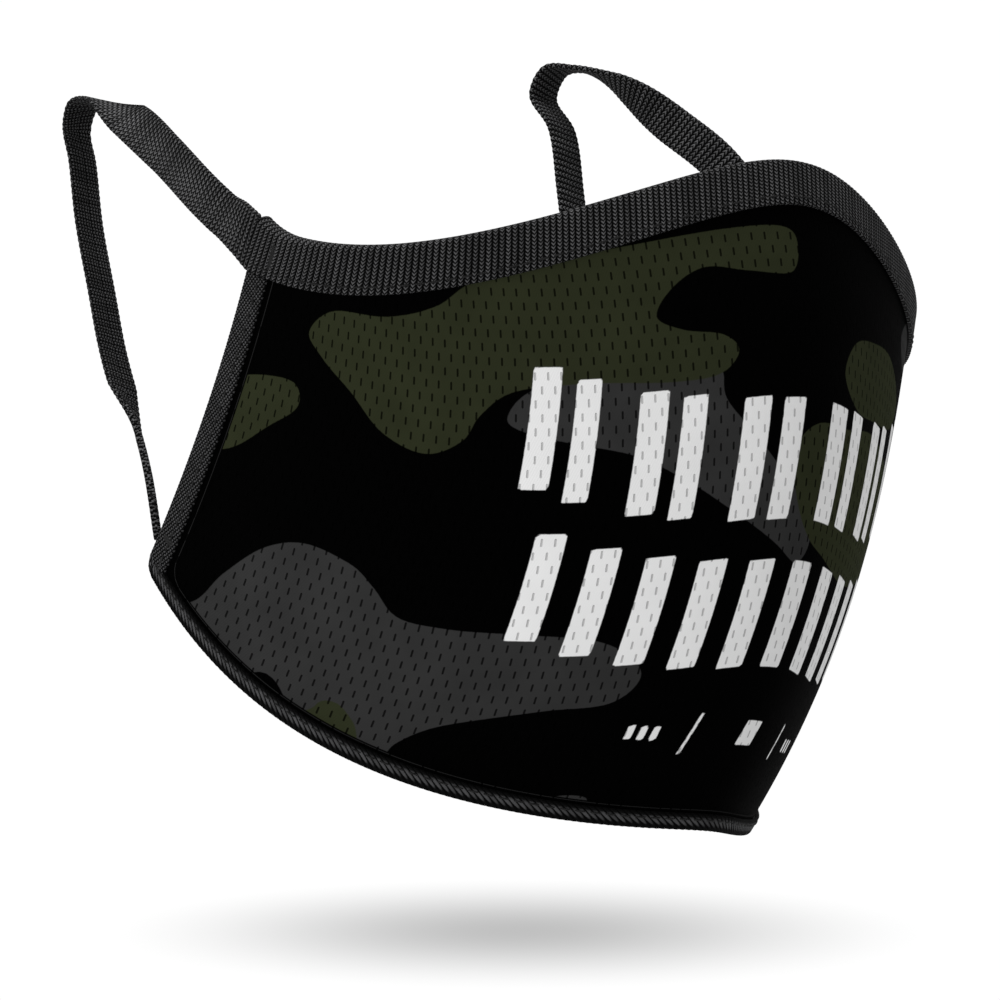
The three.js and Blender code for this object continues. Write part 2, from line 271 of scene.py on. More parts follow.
@dataclass
class EdgePath:
    """Stations along an edge: each place, how it moves per millimetre inward, and its run."""

    turn: Array
    rise: Array
    turn_in: Array
    rise_in: Array
    run: Array = field(default_factory=lambda: np.zeros(0))

    def frame(self, inset: float) -> CupFrame:
        """The cup's frames at a distance in from the edge."""
        return CUP.frame(self.turn + inset * self.turn_in, self.rise + inset * self.rise_in)

    def outward(self) -> Array:
        """The directions that leave the cloth across the edge."""
        at = self.frame(0.0)
        return -unit(
            at.turnwards * self.turn_in[:, None] + at.upwards * self.rise_in[:, None]
        )

    def evenly(self, step: float, inset: float) -> "EdgePath":
        """The same edge with stations an even distance apart.

        Args:
            step: Millimetres between stations.
            inset: How far in the distance is measured.

        Returns:
            The path, its run counted from the centre line.
        """
        run = lengths_along(self.frame(inset).point)
        run = run - np.interp(0.0, self.turn, run)
        first, last = math.ceil(run[0] / step), math.floor(run[-1] / step)
        even = np.concatenate([[run[0]], np.arange(first, last + 1) * step, [run[-1]]])
        even = even[np.concatenate([[True], np.diff(even) > 1e-6])]
        read = lambda values: np.interp(even, run, values)
        return EdgePath(
            read(self.turn), read(self.rise), read(self.turn_in), read(self.rise_in), even
        )

    def stitches(self, inset: float, depth: float, length: float, space: float,
                 margins: tuple[float, float], dips: Sequence[float]) -> list[Array]:
        """Short threads laid along the edge.

        Args:
            inset: How far in from the edge they lie.
            depth: How far behind the cup's outer face.
            length: Each one's length.
            space: What separates two of them.
            margins: What is left free at the path's start and end.
            dips: How much deeper each one lies along its length.

        Returns:
            Each thread's middle line.
        """
        fine = self.evenly(0.25, inset)
        at = fine.frame(inset)
        lines = []
        last = fine.run[-1] - margins[1] - length
        for start in np.arange(fine.run[0] + margins[0], last, length + space):
            run = np.linspace(start, start + length, len(dips))
            read = lambda values: np.stack(
                [np.interp(run, fine.run, values[:, k]) for k in range(3)], axis=-1
            )
            lines.append(read(at.point) + read(at.inward) * (depth + np.array(dips))[:, None])
        return lines


def top_path(last_turn: float = QUARTER, beyond: float = OVERHANG,
             end_lift: float = 0.0) -> EdgePath:
    """The top edge from ear to ear.

    Args:
        last_turn: Where it ends on each side.
        beyond: Millimetres that it runs on past there.
        end_lift: How far it rises at its ends, towards the straps.

    Returns:
        The path, from the wearer's right to the left.
    """
    per_turn, _ = CUP.scales(np.array(last_turn), np.array(1.0))
    turn = np.linspace(-1, 1, 721) * (last_turn + beyond / float(per_turn))
    rise = np.ones_like(turn)
    _, per_rise = CUP.scales(turn, rise)
    near = 1 - (turn[-1] - np.abs(turn)) * per_turn / LIFT_RUN
    lift = end_lift * np.clip(near, 0, None) ** 2
    wider = (TOP_BINDING_WIDTH + lift) / TOP_BINDING_WIDTH
    return EdgePath(turn, rise + lift / per_rise, np.zeros_like(turn), -wider / per_rise)


def lower_path() -> EdgePath:
    """The ear and bottom edges, from the notch on the right round to the one on the left."""
    at_ear = np.array(QUARTER)
    _, corner = CUP.scales(at_ear, np.array(1.0))
    start = 1 - (TOP_BINDING_WIDTH + BINDING_GAP) / float(corner)
    per_turn, per_rise = (float(x) for x in CUP.scales(at_ear, np.array(0.0)))
    radius = CUP.corner_radius
    side_rise = np.linspace(start, radius / per_rise, 160)[:-1]
    angle = np.linspace(0, math.pi / 2, 60)
    bottom_turn = np.linspace(QUARTER - radius / per_turn, 0, 300)[1:]
    turn = np.concatenate(
        [
            np.full_like(side_rise, QUARTER),
            QUARTER - radius * (1 - np.cos(angle)) / per_turn,
            bottom_turn,
        ]
    )
    rise = np.concatenate(
        [side_rise, radius * (1 - np.sin(angle)) / per_rise, np.zeros_like(bottom_turn)]
    )
    heading = np.concatenate(
        [np.zeros_like(side_rise), angle, np.full_like(bottom_turn, math.pi / 2)]
    )
    local_turn, local_rise = CUP.scales(turn, rise)
    share = LOW_SHARE + (SIDE_SHARE - LOW_SHARE) * np.cos(heading) ** 2
    turn_in, rise_in = -np.cos(heading) * share / local_turn, np.sin(heading) * share / local_rise
    mirror = slice(-2, None, -1)
    return EdgePath(
        np.concatenate([-turn, turn[mirror]]),
        np.concatenate([rise, rise[mirror]]),
        np.concatenate([-turn_in, turn_in[mirror]]),
        np.concatenate([rise_in, rise_in[mirror]]),
    )


def square_to(directions: Array, tangents: Array) -> Array:
    """The parts of directions that are square to tangents, as unit lengths."""
    along = np.einsum("ij,ij->i", directions, tangents)[:, None]
    return unit(directions - tangents * along)


def centripetal(control: Array, share: Array) -> Array:
    """A centripetal curve through control points.

    Args:
        control: The points.
        share: From 0 at the first point to 1 at the last.

    Returns:
        The curve's points.
    """
    padded = np.concatenate(
        [[2 * control[0] - control[1]], control, [2 * control[-1] - control[-2]]]
    )
    spot = np.clip(share, 0, 1) * (len(control) - 1)
    index = np.minimum(spot.astype(int), len(control) - 2)
    before, start, end, after = (padded[index + k] for k in range(4))
    gap = lambda a, b: np.sqrt(np.linalg.norm(b - a, axis=1))[:, None]
    d0, d1, d2 = gap(before, start), gap(start, end), gap(end, after)
    leave = ((start - before) / d0 - (end - before) / (d0 + d1) + (end - start) / d1) * d1
    arrive = ((end - start) / d1 - (after - start) / (d1 + d2) + (after - end) / d2) * d1
    t = (spot - index)[:, None]
    return (
        start
        + leave * t
        + (3 * (end - start) - 2 * leave - arrive) * t**2
        + (2 * (start - end) + leave + arrive) * t**3
    )


# ---------------------------------------------------------------- meshes


def make_mesh(
    name: str,
    points: Array,
    faces: Array,
    places: Array,
    attributes: dict[str, Array] | None = None,
    face_slots: Array | None = None,
) -> bpy.types.Object:
    """Makes one object from quads.

    Args:
        name: The piece's name.
        points: Its points in millimetres.
        faces: Four point numbers for each face.
        places: The cloth place in millimetres of each face's corners.
        attributes: Values at the points, by name.
        face_slots: The material slot of each face.

    Returns:
        The object, linked to the scene.
    """
    corner = points[faces]
    volume = np.einsum(
        "ij,ij->", corner[:, 0], np.cross(corner[:, 1], corner[:, 2])
    ) + np.einsum("ij,ij->", corner[:, 0], np.cross(corner[:, 2], corner[:, 3]))
    if volume < 0:
        faces, places = faces[:, ::-1], places[:, ::-1]
    mesh = bpy.data.meshes.new(name)
    mesh.vertices.add(len(points))
    mesh.vertices.foreach_set("co", (points * MM).astype(np.float32).ravel())
    mesh.loops.add(faces.size)
    mesh.loops.foreach_set("vertex_index", faces.astype(np.int32).ravel())
    mesh.polygons.add(len(faces))
    mesh.polygons.foreach_set("loop_start", np.arange(0, faces.size, 4, dtype=np.int32))
    mesh.update(calc_edges=True)
    layer = mesh.uv_layers.new(name=MAP_NAME)
    layer.uv.foreach_set("vector", places.astype(np.float32).ravel())
    for title, values in (attributes or {}).items():
        stored = mesh.attributes.new(title, "FLOAT", "POINT")
        stored.data.foreach_set("value", values.astype(np.float32).ravel())
    if face_slots is not None:
        mesh.polygons.foreach_set("material_index", face_slots.astype(np.int32))
    mesh.shade_smooth()
    mesh.set_sharp_from_angle(angle=math.radians(55))
    mesh.validate()
    piece = bpy.data.objects.new(name, mesh)
    bpy.context.scene.collection.objects.link(piece)
    return piece


def section_faces(rows: int, columns: int) -> Array:
    """The quads of a closed section swept along rows, with both ends capped across it."""
    i, j = np.meshgrid(np.arange(rows - 1), np.arange(columns), indexing="ij")
    nxt = (j + 1) % columns
    sides = np.stack(
        [i * columns + j, (i + 1) * columns + j, (i + 1) * columns + nxt, i * columns + nxt],
        axis=-1,
    ).reshape(-1, 4)
    k = np.arange(columns // 2 - 1)
    cap = np.stack([k, k + 1, columns - 2 - k, columns - 1 - k], axis=-1)
    return np.concatenate([sides, cap, (cap + (rows - 1) * columns)[:, ::-1]])


def sweep(
    name: str,
    points: Array,
    run: Array,
    around: Array,
    attributes: dict[str, Array] | None = None,
    slots: Array | None = None,
) -> bpy.types.Object:
    """Makes a closed piece from sections that follow one another.

    Args:
        name: The piece's name.
        points: Rows by columns of points; the columns close on themselves.
        run: The cloth place along the rows.
        around: The cloth place round each section, with one more value than columns, or the
            same for every row.
        attributes: Values at the points.
        slots: The material slot of each column, or of each row and column.

    Returns:
        The object.
    """
    rows, columns = points.shape[:2]
    faces = section_faces(rows, columns)
    along = np.broadcast_to(run if run.ndim == 2 else run[:, None], (rows, columns))
    across = np.broadcast_to(around, (rows, columns + 1))
    flat_along, flat_across = along.reshape(-1), across[:, :columns].reshape(-1)
    places = np.stack([flat_along[faces], flat_across[faces]], axis=-1)
    swept = (rows - 1) * columns
    column = np.arange(swept) % columns
    wrapped = np.where(column == columns - 1)[0]
    row = wrapped // columns
    places[wrapped, 3, 1] = across[row, columns]
    places[wrapped, 2, 1] = across[row + 1, columns]
    face_slots = None
    if slots is not None:
        each = np.broadcast_to(slots, (rows - 1, columns)).reshape(-1)
        face_slots = np.concatenate([each, np.zeros(len(faces) - swept, dtype=int)])
    return make_mesh(name, points.reshape(-1, 3), faces, places, attributes, face_slots)


def tube(name: str, lines: Sequence[Array], radius: float, sides: int = 8) -> bpy.types.Object:
    """Makes round threads with closed ends.

    Args:
        name: The piece's name.
        lines: The middle line of each thread.
        radius: The threads' radius.
        sides: Points round each thread.

    Returns:
        One object that holds every thread.
    """
    all_points, all_faces, all_places, start = [], [], [], 0
    angle = np.linspace(0, 2 * math.pi, sides, endpoint=False)
    for line in lines:
        tangent = unit(np.gradient(line, axis=0))
        hint = np.where(np.abs(tangent[:, 2:3]) > 0.9, [[1.0, 0, 0]], [[0, 0, 1.0]])
        first = unit(np.cross(tangent, hint))
        second = np.cross(tangent, first)
        ease = np.ones(len(line))
        ease[0] = ease[-1] = 0.45
        ring = (
            line[:, None]
            + radius
            * ease[:, None, None]
            * (
                np.cos(angle)[None, :, None] * first[:, None]
                + np.sin(angle)[None, :, None] * second[:, None]
            )
        )
        faces = section_faces(len(line), sides)
        run = np.repeat(lengths_along(line), sides)
        across = np.tile(angle * radius, len(line))
        all_points.append(ring.reshape(-1, 3))
        all_faces.append(faces + start)
        all_places.append(np.stack([run[faces], across[faces]], axis=-1))
        start += len(line) * sides
    return make_mesh(
        name, np.concatenate(all_points), np.concatenate(all_faces), np.concatenate(all_places)
    )


# ---------------------------------------------------------------- shader wiring


class Board:
    """A node tree being wired, with a short call for each node that the finishes use."""

    def __init__(self, tree: bpy.types.NodeTree) -> None:
        """Takes the tree to wire."""
        self.tree = tree

    def feed(self, target: Socket, value: Feed) -> None:
        """Links a socket to an input, or sets the input to a plain value."""
        if isinstance(value, bpy.types.NodeSocket):
            self.tree.links.new(value, target)
        else:
            target.default_value = value

    def node(self, kind: str, *feeds: Feed, **settings: object) -> bpy.types.Node:
        """Adds a node.

        Args:
            kind: The node's type without its ShaderNode prefix.
            feeds: What goes into its first inputs.
            settings: Its own settings.

        Returns:
            The node.
        """
        made = self.tree.nodes.new(f"ShaderNode{kind}")
        for key, value in settings.items():
            setattr(made, key, value)
        for target, value in zip(made.inputs, feeds):
            self.feed(target, value)
        return made

    def math(self, operation: str, *feeds: Feed) -> Socket:
        """The result of a Math node."""
        return self.node("Math", *feeds, operation=operation).outputs[0]

    def step(self, value: Feed, low: float, high: float, bottom: float = 0.0,
             top: float = 1.0) -> Socket:
        """A smooth step of a value between two others, scaled from bottom to top."""
        made = self.node("MapRange", value, low, high, bottom, top)
        made.interpolation_type = "SMOOTHSTEP"
        return made.outputs[0]

    def mix(self, share: Feed, first: Feed, second: Feed) -> Socket:
        """A colour between two others."""
        made = self.node("Mix", data_type="RGBA")
        for name, value in (("Factor_Float", share), ("A_Color", first), ("B_Color", second)):
            target = next(s for s in made.inputs if s.identifier == name)
            if not isinstance(value, (float, int, bpy.types.NodeSocket)) and len(value) == 3:
                value = (*value, 1.0)
            self.feed(target, value)
        return next(s for s in made.outputs if s.identifier == "Result_Color")

    def scaled(self, colour: Feed, by: Feed) -> Socket:
        """A colour made lighter or darker."""
        return self.node("VectorMath", colour, by, operation="MULTIPLY").outputs[0]

    def noise(self, vector: Feed, scale: float, detail: float = 2.0) -> Socket:
        """The value of a noise texture."""
        made = self.node("TexNoise")
        self.feed(made.inputs["Vector"], vector)
        self.feed(made.inputs["Scale"], scale)
        self.feed(made.inputs["Detail"], detail)
        return made.outputs[0]

    def split(self, vector: Feed) -> tuple[Socket, Socket]:
        """The first two parts of a vector."""
        made = self.node("SeparateXYZ", vector)
        return made.outputs[0], made.outputs[1]

    def cloth_map(self) -> Socket:
        """The cloth place in millimetres."""
        return self.node("UVMap", uv_map=MAP_NAME).outputs[0]

    def attribute(self, name: str) -> Socket:
        """A value stored at the points."""
        return self.node("Attribute", attribute_name=name).outputs["Fac"]

    def place(self, group: bpy.types.NodeTree, **feeds: Feed) -> bpy.types.Node:
        """Places a shared effect, its inputs named with underscores for spaces."""
        made = self.tree.nodes.new("ShaderNodeGroup")
        made.node_tree = group
        for key, value in feeds.items():
            self.feed(made.inputs[key.replace("_", " ")], value)
        return made


def effect(
    name: str,
    inputs: dict[str, str],
    outputs: Sequence[str],
    wire: Callable[[Board, dict[str, Socket]], dict[str, Socket]],
) -> bpy.types.NodeTree:
    """Builds a shared effect.

    Args:
        name: The node group's name.
        inputs: The type of each input, Float or Vector.
        outputs: The names of its values.
        wire: Wires it, from its inputs to its outputs.

    Returns:
        The node group.
    """
    tree = bpy.data.node_groups.new(name, "ShaderNodeTree")
    for title, kind in inputs.items():
        tree.interface.new_socket(title, in_out="INPUT", socket_type=f"NodeSocket{kind}")
    for title in outputs:
        tree.interface.new_socket(title, in_out="OUTPUT", socket_type="NodeSocketFloat")
    source = tree.nodes.new("NodeGroupInput")
    target = tree.nodes.new("NodeGroupOutput")
    made = wire(Board(tree), {s.name: s for s in source.outputs if s.name})
    for title, socket in made.items():
        tree.links.new(socket, target.inputs[title])
    return tree


class Effects:
    """The effects that several finishes share, each built once."""

    def __init__(self) -> None:
        """Builds every effect."""
        self.slits = effect(
            "SlitMesh",
            {"Place": "Vector", "Column Pitch": "Float", "Row Pitch": "Float",
             "Slit Width": "Float", "Slit Length": "Float"},
            ["Mask"],
            self._slits,
        )
        self.ribs = effect(
            "KnitRibs",
            {"Place": "Vector", "Rib Pitch": "Float", "Loop Pitch": "Float", "Lean": "Float",
             "Chevron": "Float", "Shift": "Float"},
            ["Height", "Highlight", "Shade"],
            self._ribs,
        )
        self.weave = effect(
            "FineWeave",
            {"Place": "Vector", "Pitch": "Float", "Slant": "Float"},
            ["Height"],
            self._weave,
        )
        self.drift = effect(
            "DyeDrift", {"Place": "Vector", "Size": "Float", "Amount": "Float"}, ["Factor"],
            self._drift,
        )
        self.twist = effect(
            "ThreadTwist", {"Place": "Vector", "Pitch": "Float"}, ["Height"], self._twist
        )

    @staticmethod
    def _slits(board: Board, given: dict[str, Socket]) -> dict[str, Socket]:
        """Wires staggered rows of short slits."""
        across, up = board.split(given["Place"])
        row = board.math("DIVIDE", up, given["Row Pitch"])
        shift = board.math("MULTIPLY", board.math("FLOORED_MODULO",
                           board.math("FLOOR", row), 2.0), 0.5)
        column = board.math("ADD", board.math("DIVIDE", across, given["Column Pitch"]), shift)
        centred = lambda value, pitch: board.math(
            "MULTIPLY", board.math("SUBTRACT", board.math("FRACT", value), 0.5), pitch
        )
        aside = centred(column, given["Column Pitch"])
        along = board.math("ABSOLUTE", centred(row, given["Row Pitch"]))
        half = board.math("MULTIPLY", given["Slit Width"], 0.5)
        straight = board.math("SUBTRACT", board.math("MULTIPLY", given["Slit Length"], 0.5), half)
        past = board.math("MAXIMUM", board.math("SUBTRACT", along, straight), 0.0)
        away = board.math(
            "SQRT",
            board.math("ADD", board.math("MULTIPLY", aside, aside),
                       board.math("MULTIPLY", past, past)),
        )
        return {"Mask": board.step(board.math("SUBTRACT", away, half), 0.07, -0.07)}

    @staticmethod
    def _ribs(board: Board, given: dict[str, Socket]) -> dict[str, Socket]:
        """Wires ribs that run across a tape, each a chain of small knit loops."""
        along, across = board.split(given["Place"])
        leant = board.math("MULTIPLY_ADD", across, given["Lean"], along)
        rib = board.math("DIVIDE", leant, given["Rib Pitch"])
        number = board.math("FLOOR", rib)
        side = board.math(
            "ABSOLUTE", board.math("MULTIPLY_ADD", board.math("FRACT", rib), 2.0, -1.0)
        )
        crown = board.math("SUBTRACT", 1.0, board.math("POWER", side, 2.2))
        slide = board.math("MULTIPLY", side, given["Chevron"])
        alternate = board.math("MULTIPLY", board.math("FLOORED_MODULO", number, 2.0),
                               given["Shift"])
        turn = board.math(
            "ADD", board.math("DIVIDE", across, given["Loop Pitch"]),
            board.math("ADD", slide, alternate),
        )
        loop = board.math("SINE", board.math("MULTIPLY", board.math("FRACT", turn), math.pi))
        height = board.math("MULTIPLY", crown, board.math("MULTIPLY_ADD", loop, 0.6, 0.4))
        chance = board.node("TexWhiteNoise", noise_dimensions="1D")
        board.feed(chance.inputs["W"], number)
        tint = board.math("MULTIPLY_ADD", chance.outputs[0], 0.6, 0.7)
        rounded = board.math("MULTIPLY_ADD", crown, 0.6, 0.4)
        bright = board.step(board.math("MULTIPLY", rounded, loop), 0.5, 0.97)
        return {
            "Height": height,
            "Highlight": board.math("MULTIPLY", bright, tint),
            "Shade": board.step(side, 0.95, 0.6),
        }

    @staticmethod
    def _weave(board: Board, given: dict[str, Socket]) -> dict[str, Socket]:
        """Wires small crossing threads."""
        first, second = board.split(given["Place"])
        slanted = board.math("MULTIPLY_ADD", second, given["Slant"], first)
        wave = lambda value: board.math(
            "SINE", board.math("MULTIPLY", board.math("DIVIDE", value, given["Pitch"]),
                               2 * math.pi)
        )
        both = board.math("MULTIPLY", wave(slanted), wave(second))
        return {"Height": board.math("MULTIPLY_ADD", both, 0.5, 0.5)}

    @staticmethod
    def _drift(board: Board, given: dict[str, Socket]) -> dict[str, Socket]:
        """Wires a slow change of a dye's depth."""
        made = board.node("VectorMath", given["Place"], operation="SCALE")
        board.feed(made.inputs["Scale"], board.math("DIVIDE", 1.0, given["Size"]))
        cloud = board.noise(made.outputs[0], 1.0, 4.0)
        centred = board.math("SUBTRACT", cloud, 0.5)
        return {"Factor": board.math("MULTIPLY_ADD", centred, given["Amount"], 1.0)}

    @staticmethod
    def _twist(board: Board, given: dict[str, Socket]) -> dict[str, Socket]:
        """Wires the strands of a twisted thread."""
        along, across = board.split(given["Place"])
        spiral = board.math("DIVIDE", board.math("ADD", along, across), given["Pitch"])
        wave = board.math("SINE", board.math("MULTIPLY", spiral, 2 * math.pi))
        return {"Height": board.math("MULTIPLY_ADD", wave, 0.5, 0.5)}


EFFECTS = Effects()


def start_material(name: str) -> tuple[bpy.types.Material, Board, bpy.types.Node]:
    """An empty material with its Principled shader on a board."""
    made = bpy.data.materials.new(name)
    made.use_nodes = True
    board = Board(made.node_tree)
    return made, board, made.node_tree.nodes["Principled BSDF"]


def finish_surface(
    board: Board,
    shader: bpy.types.Node,
    colour: Feed,
    roughness: Feed,
    specular: float,
    height: Feed | None = None,
    depth: float = 0.1,
) -> None:
    """Wires the usual inputs of a surface.

    Args:
        board: The material's board.
        shader: Its Principled shader.
        colour: What feeds Base Color.
        roughness: What feeds Roughness.
        specular: The constant specular level.
        height: What feeds the bump, if anything does.
        depth: The bump's depth in millimetres.
    """
    board.feed(shader.inputs["Base Color"], colour)
    board.feed(shader.inputs["Roughness"], roughness)
    shader.inputs["Specular IOR Level"].default_value = specular
    if height is not None:
        bump = board.node("Bump")
        bump.inputs["Strength"].default_value = 1.0
        bump.inputs["Distance"].default_value = depth * MM
        board.feed(bump.inputs["Height"], height)
        board.feed(shader.inputs["Normal"], bump.outputs[0])


# ---------------------------------------------------------------- finishes


@dataclass(frozen=True)
class PrintedMesh:
    """Slit mesh cloth, printed with camouflage and a plain white pattern."""

    black: Colour = (0.0003, 0.0003, 0.0003)
    olive: Colour = (0.0262, 0.0300, 0.0148)
    grey: Colour = (0.0330, 0.0330, 0.0330)
    white: Colour = (0.93, 0.93, 0.93)
    welt: Colour = (0.016, 0.016, 0.016)
    column_pitch: float = 2.45
    row_pitch: float = 2.5
    slit_width: float = 0.34
    slit_length: float = 1.45
    bare_margin: float = 6.2

    def material(self) -> bpy.types.Material:
        """Builds the printed cloth.

        Returns:
            The material.
        """
        made, board, shader = start_material("PrintedMesh")
        place = board.cloth_map()
        slits = board.place(
            EFFECTS.slits, Place=place, Column_Pitch=self.column_pitch,
            Row_Pitch=self.row_pitch, Slit_Width=self.slit_width,
            Slit_Length=self.slit_length,
        ).outputs["Mask"]
        weave = board.place(EFFECTS.weave, Place=place, Pitch=0.5, Slant=0.5).outputs[0]
        drift = board.place(EFFECTS.drift, Place=place, Size=9.0, Amount=0.45).outputs[0]
        soft = board.math("MULTIPLY_ADD", board.noise(place, 1.3, 3.0), 0.12, -0.06)
        inked = lambda ink: board.step(
            board.math("ADD", board.attribute(ink.value), soft), 0.12, -0.12
        )
        colour = board.mix(inked(Ink.GREY), self.black, self.grey)
        colour = board.mix(inked(Ink.OLIVE), colour, self.olive)
        edge = board.attribute("edge_distance")
        # A black band along the bindings, left unprinted, that also stands in for the shade in the
        # seam's valley: painted shade.
        margin = board.step(edge, self.bare_margin + 0.1, self.bare_margin - 0.1)
        colour = board.mix(margin, colour, self.black)
        # Painted highlight: a thin lighter line where the seam's ridge would catch the light.
        off_welt_highlight = board.math("ABSOLUTE", board.math("SUBTRACT", edge, self.bare_margin - 0.35))
        colour = board.mix(board.step(off_welt_highlight, 0.14, 0.02), colour, self.welt)
        white = inked(Ink.WHITE)
        colour = board.mix(white, colour, self.white)
        shade = board.math("MULTIPLY", drift, board.math("MULTIPLY_ADD", weave, 0.14, 0.92))
        even = board.math("MULTIPLY_ADD", white, 0.75, 0.0)
        shade = board.math(
            "ADD", board.math("MULTIPLY", shade, board.math("SUBTRACT", 1.0, even)), even
        )
        hole = board.math("MULTIPLY_ADD", white, 0.42, 0.18)
        inside = board.math("SUBTRACT", 1.0, board.math(
            "MULTIPLY", slits, board.math("SUBTRACT", 1.0, hole)))
        colour = board.scaled(colour, board.math("MULTIPLY", shade, inside))
        height = board.math("SUBTRACT", board.math("MULTIPLY", weave, 0.18), slits)
        rough = board.math("MULTIPLY_ADD", weave, 0.1, 0.8)
        finish_surface(board, shader, colour, rough, 0.008, height, 0.12)
        return made


@dataclass(frozen=True)
class PlainKnit:
    """A plain dyed knit for the layers behind the outer panel."""

    name: str
    colour: Colour
    pitch: float = 0.55
    specular: float = 0.08

    def material(self) -> bpy.types.Material:
        """Builds the knit.

        Returns:
            The material.
        """
        made, board, shader = start_material(self.name)
        place = board.cloth_map()
        loops = board.place(
            EFFECTS.ribs, Place=place, Rib_Pitch=self.pitch, Loop_Pitch=self.pitch * 0.8,
            Lean=0.0, Chevron=0.5, Shift=0.5,
        )
        drift = board.place(EFFECTS.drift, Place=place, Size=14.0, Amount=0.5).outputs[0]
        light = board.math("MULTIPLY_ADD", loops.outputs["Highlight"], 1.1, 0.55)
        colour = board.scaled(self.colour, board.math("MULTIPLY", light, drift))
        rough = board.math("MULTIPLY_ADD", loops.outputs["Height"], -0.1, 0.95)
        finish_surface(board, shader, colour, rough, self.specular,
                       loops.outputs["Height"], 0.08)
        return made


@dataclass(frozen=True)
class RibbedTape:
    """Black elastic tape, ribbed across, each rib a chain of light-catching loops."""

    name: str
    rib_pitch: float = RIB_PITCH
    loop_pitch: float = 0.66
    lean: float = -0.16
    chevron: float = -0.95
    shift: float = 0.5
    gap: Colour = (0.0005, 0.0005, 0.0005)
    thread: Colour = (0.0040, 0.0040, 0.0041)
    glint: Colour = (0.098, 0.098, 0.100)
    groove_at: float | None = None
    groove_width: float = 0.34

    @cache
    def material(self) -> bpy.types.Material:
        """Builds the tape.

        Returns:
            The material.
        """
        made, board, shader = start_material(self.name)
        place = board.cloth_map()
        ribs = board.place(
            EFFECTS.ribs, Place=place, Rib_Pitch=self.rib_pitch, Loop_Pitch=self.loop_pitch,
            Lean=self.lean, Chevron=self.chevron, Shift=self.shift,
        )
        drift = board.place(EFFECTS.drift, Place=place, Size=5.0, Amount=0.7).outputs[0]
        colour = board.mix(ribs.outputs["Height"], self.gap, self.thread)
        colour = board.mix(ribs.outputs["Highlight"], colour, self.glint)
        shade = board.math("MULTIPLY", drift, board.math(
            "MULTIPLY_ADD", ribs.outputs["Shade"], 0.6, 0.4))
        # Painted shade: the tape darkens to a quarter along the groove where its meeting edges
        # lie.
        if self.groove_at is not None:
            _, across = board.split(place)
            off = board.math("ABSOLUTE", board.math("SUBTRACT", across, self.groove_at))
            line = board.step(off, self.groove_width / 2, self.groove_width, 0.25, 1.0)
            shade = board.math("MULTIPLY", shade, line)
        colour = board.scaled(colour, shade)
        rough = board.math("MULTIPLY_ADD", ribs.outputs["Height"], -0.15, 0.85)
        finish_surface(board, shader, colour, rough, 0.035, ribs.outputs["Height"], 0.16)
        return made


@dataclass(frozen=True)
class SewingThread:
    """Twisted sewing thread."""

    name: str = "BlackThread"
    colour: Colour = (0.015, 0.015, 0.015)
    pitch: float = 0.35

    def material(self) -> bpy.types.Material:
        """Builds the thread.

        Returns:
            The material.
        """
        made, board, shader = start_material(self.name)
        twist = board.place(EFFECTS.twist, Place=board.cloth_map(), Pitch=self.pitch).outputs[0]
        colour = board.scaled(self.colour, board.math("MULTIPLY_ADD", twist, 1.2, 0.4))
        rough = board.math("MULTIPLY_ADD", twist, -0.15, 0.7)
        finish_surface(board, shader, colour, rough, 0.08, twist, 0.05)
        return made


@dataclass(frozen=True)
class BareWire:
    """Soft aluminium wire with drawn lines and dull patches."""

    name: str = "AluminiumWire"
    colour: Colour = (0.66, 0.67, 0.68)

    def material(self) -> bpy.types.Material:
        """Builds the wire.

        Returns:
            The material.
        """
        made, board, shader = start_material(self.name)
        place = board.cloth_map()
        stretched = board.node("VectorMath", place, (0.15, 6.0, 1.0), operation="MULTIPLY")
        lines = board.noise(stretched.outputs[0], 2.0, 4.0)
        drift = board.place(EFFECTS.drift, Place=place, Size=4.0, Amount=0.5).outputs[0]
        colour = board.scaled(self.colour, board.math(
            "MULTIPLY", drift, board.math("MULTIPLY_ADD", lines, 0.3, 0.8)))
        rough = board.math("MULTIPLY_ADD", lines, 0.25, 0.25)
        finish_surface(board, shader, colour, rough, 0.5, lines, 0.02)
        shader.inputs["Metallic"].default_value = 1.0
        return made


# ---------------------------------------------------------------- print


@dataclass(frozen=True)
class CamoPatch:
    """One printed patch, its smooth outline given in degrees round and percent up the cup."""

    ink: Ink
    outline: tuple[tuple[float, float], ...]

    def line(self) -> Array:
        """The outline's points over the cloth, in millimetres."""
        corner = np.array(self.outline, float)
        across, up = CUP.cloth_place(corner[:, 0], corner[:, 1] / 100)
        ring = np.stack([across, up], axis=-1)
        before, after, later = (np.roll(ring, k, axis=0) for k in (1, -1, -2))
        parts = []
        for t in np.linspace(0, 1, 8, endpoint=False):
            parts.append(
                0.5 * (2 * ring + (after - before) * t
                       + (2 * before - 5 * ring + 4 * after - later) * t**2
                       + (3 * ring - before - 3 * after + later) * t**3)
            )
        return np.stack(parts, axis=1).reshape(-1, 2)

    def distance(self, places: Array) -> Array:
        """How far places lie outside the patch; less than zero inside it."""
        line = self.line()
        end = np.roll(line, -1, axis=0)
        nearest = np.full(len(places), np.inf)
        inside = np.zeros(len(places), dtype=bool)
        for a, b in zip(line, end):
            way = b - a
            share = np.clip((places - a) @ way / max(way @ way, 1e-9), 0, 1)
            off = places - a - share[:, None] * way
            nearest = np.minimum(nearest, np.einsum("ij,ij->i", off, off))
            crosses = (a[1] > places[:, 1]) != (b[1] > places[:, 1])
            if way[1] != 0:
                at = a[0] + (places[:, 1] - a[1]) / way[1] * way[0]
                inside ^= crosses & (places[:, 0] < at)
        return np.sqrt(nearest) * np.where(inside, -1, 1)


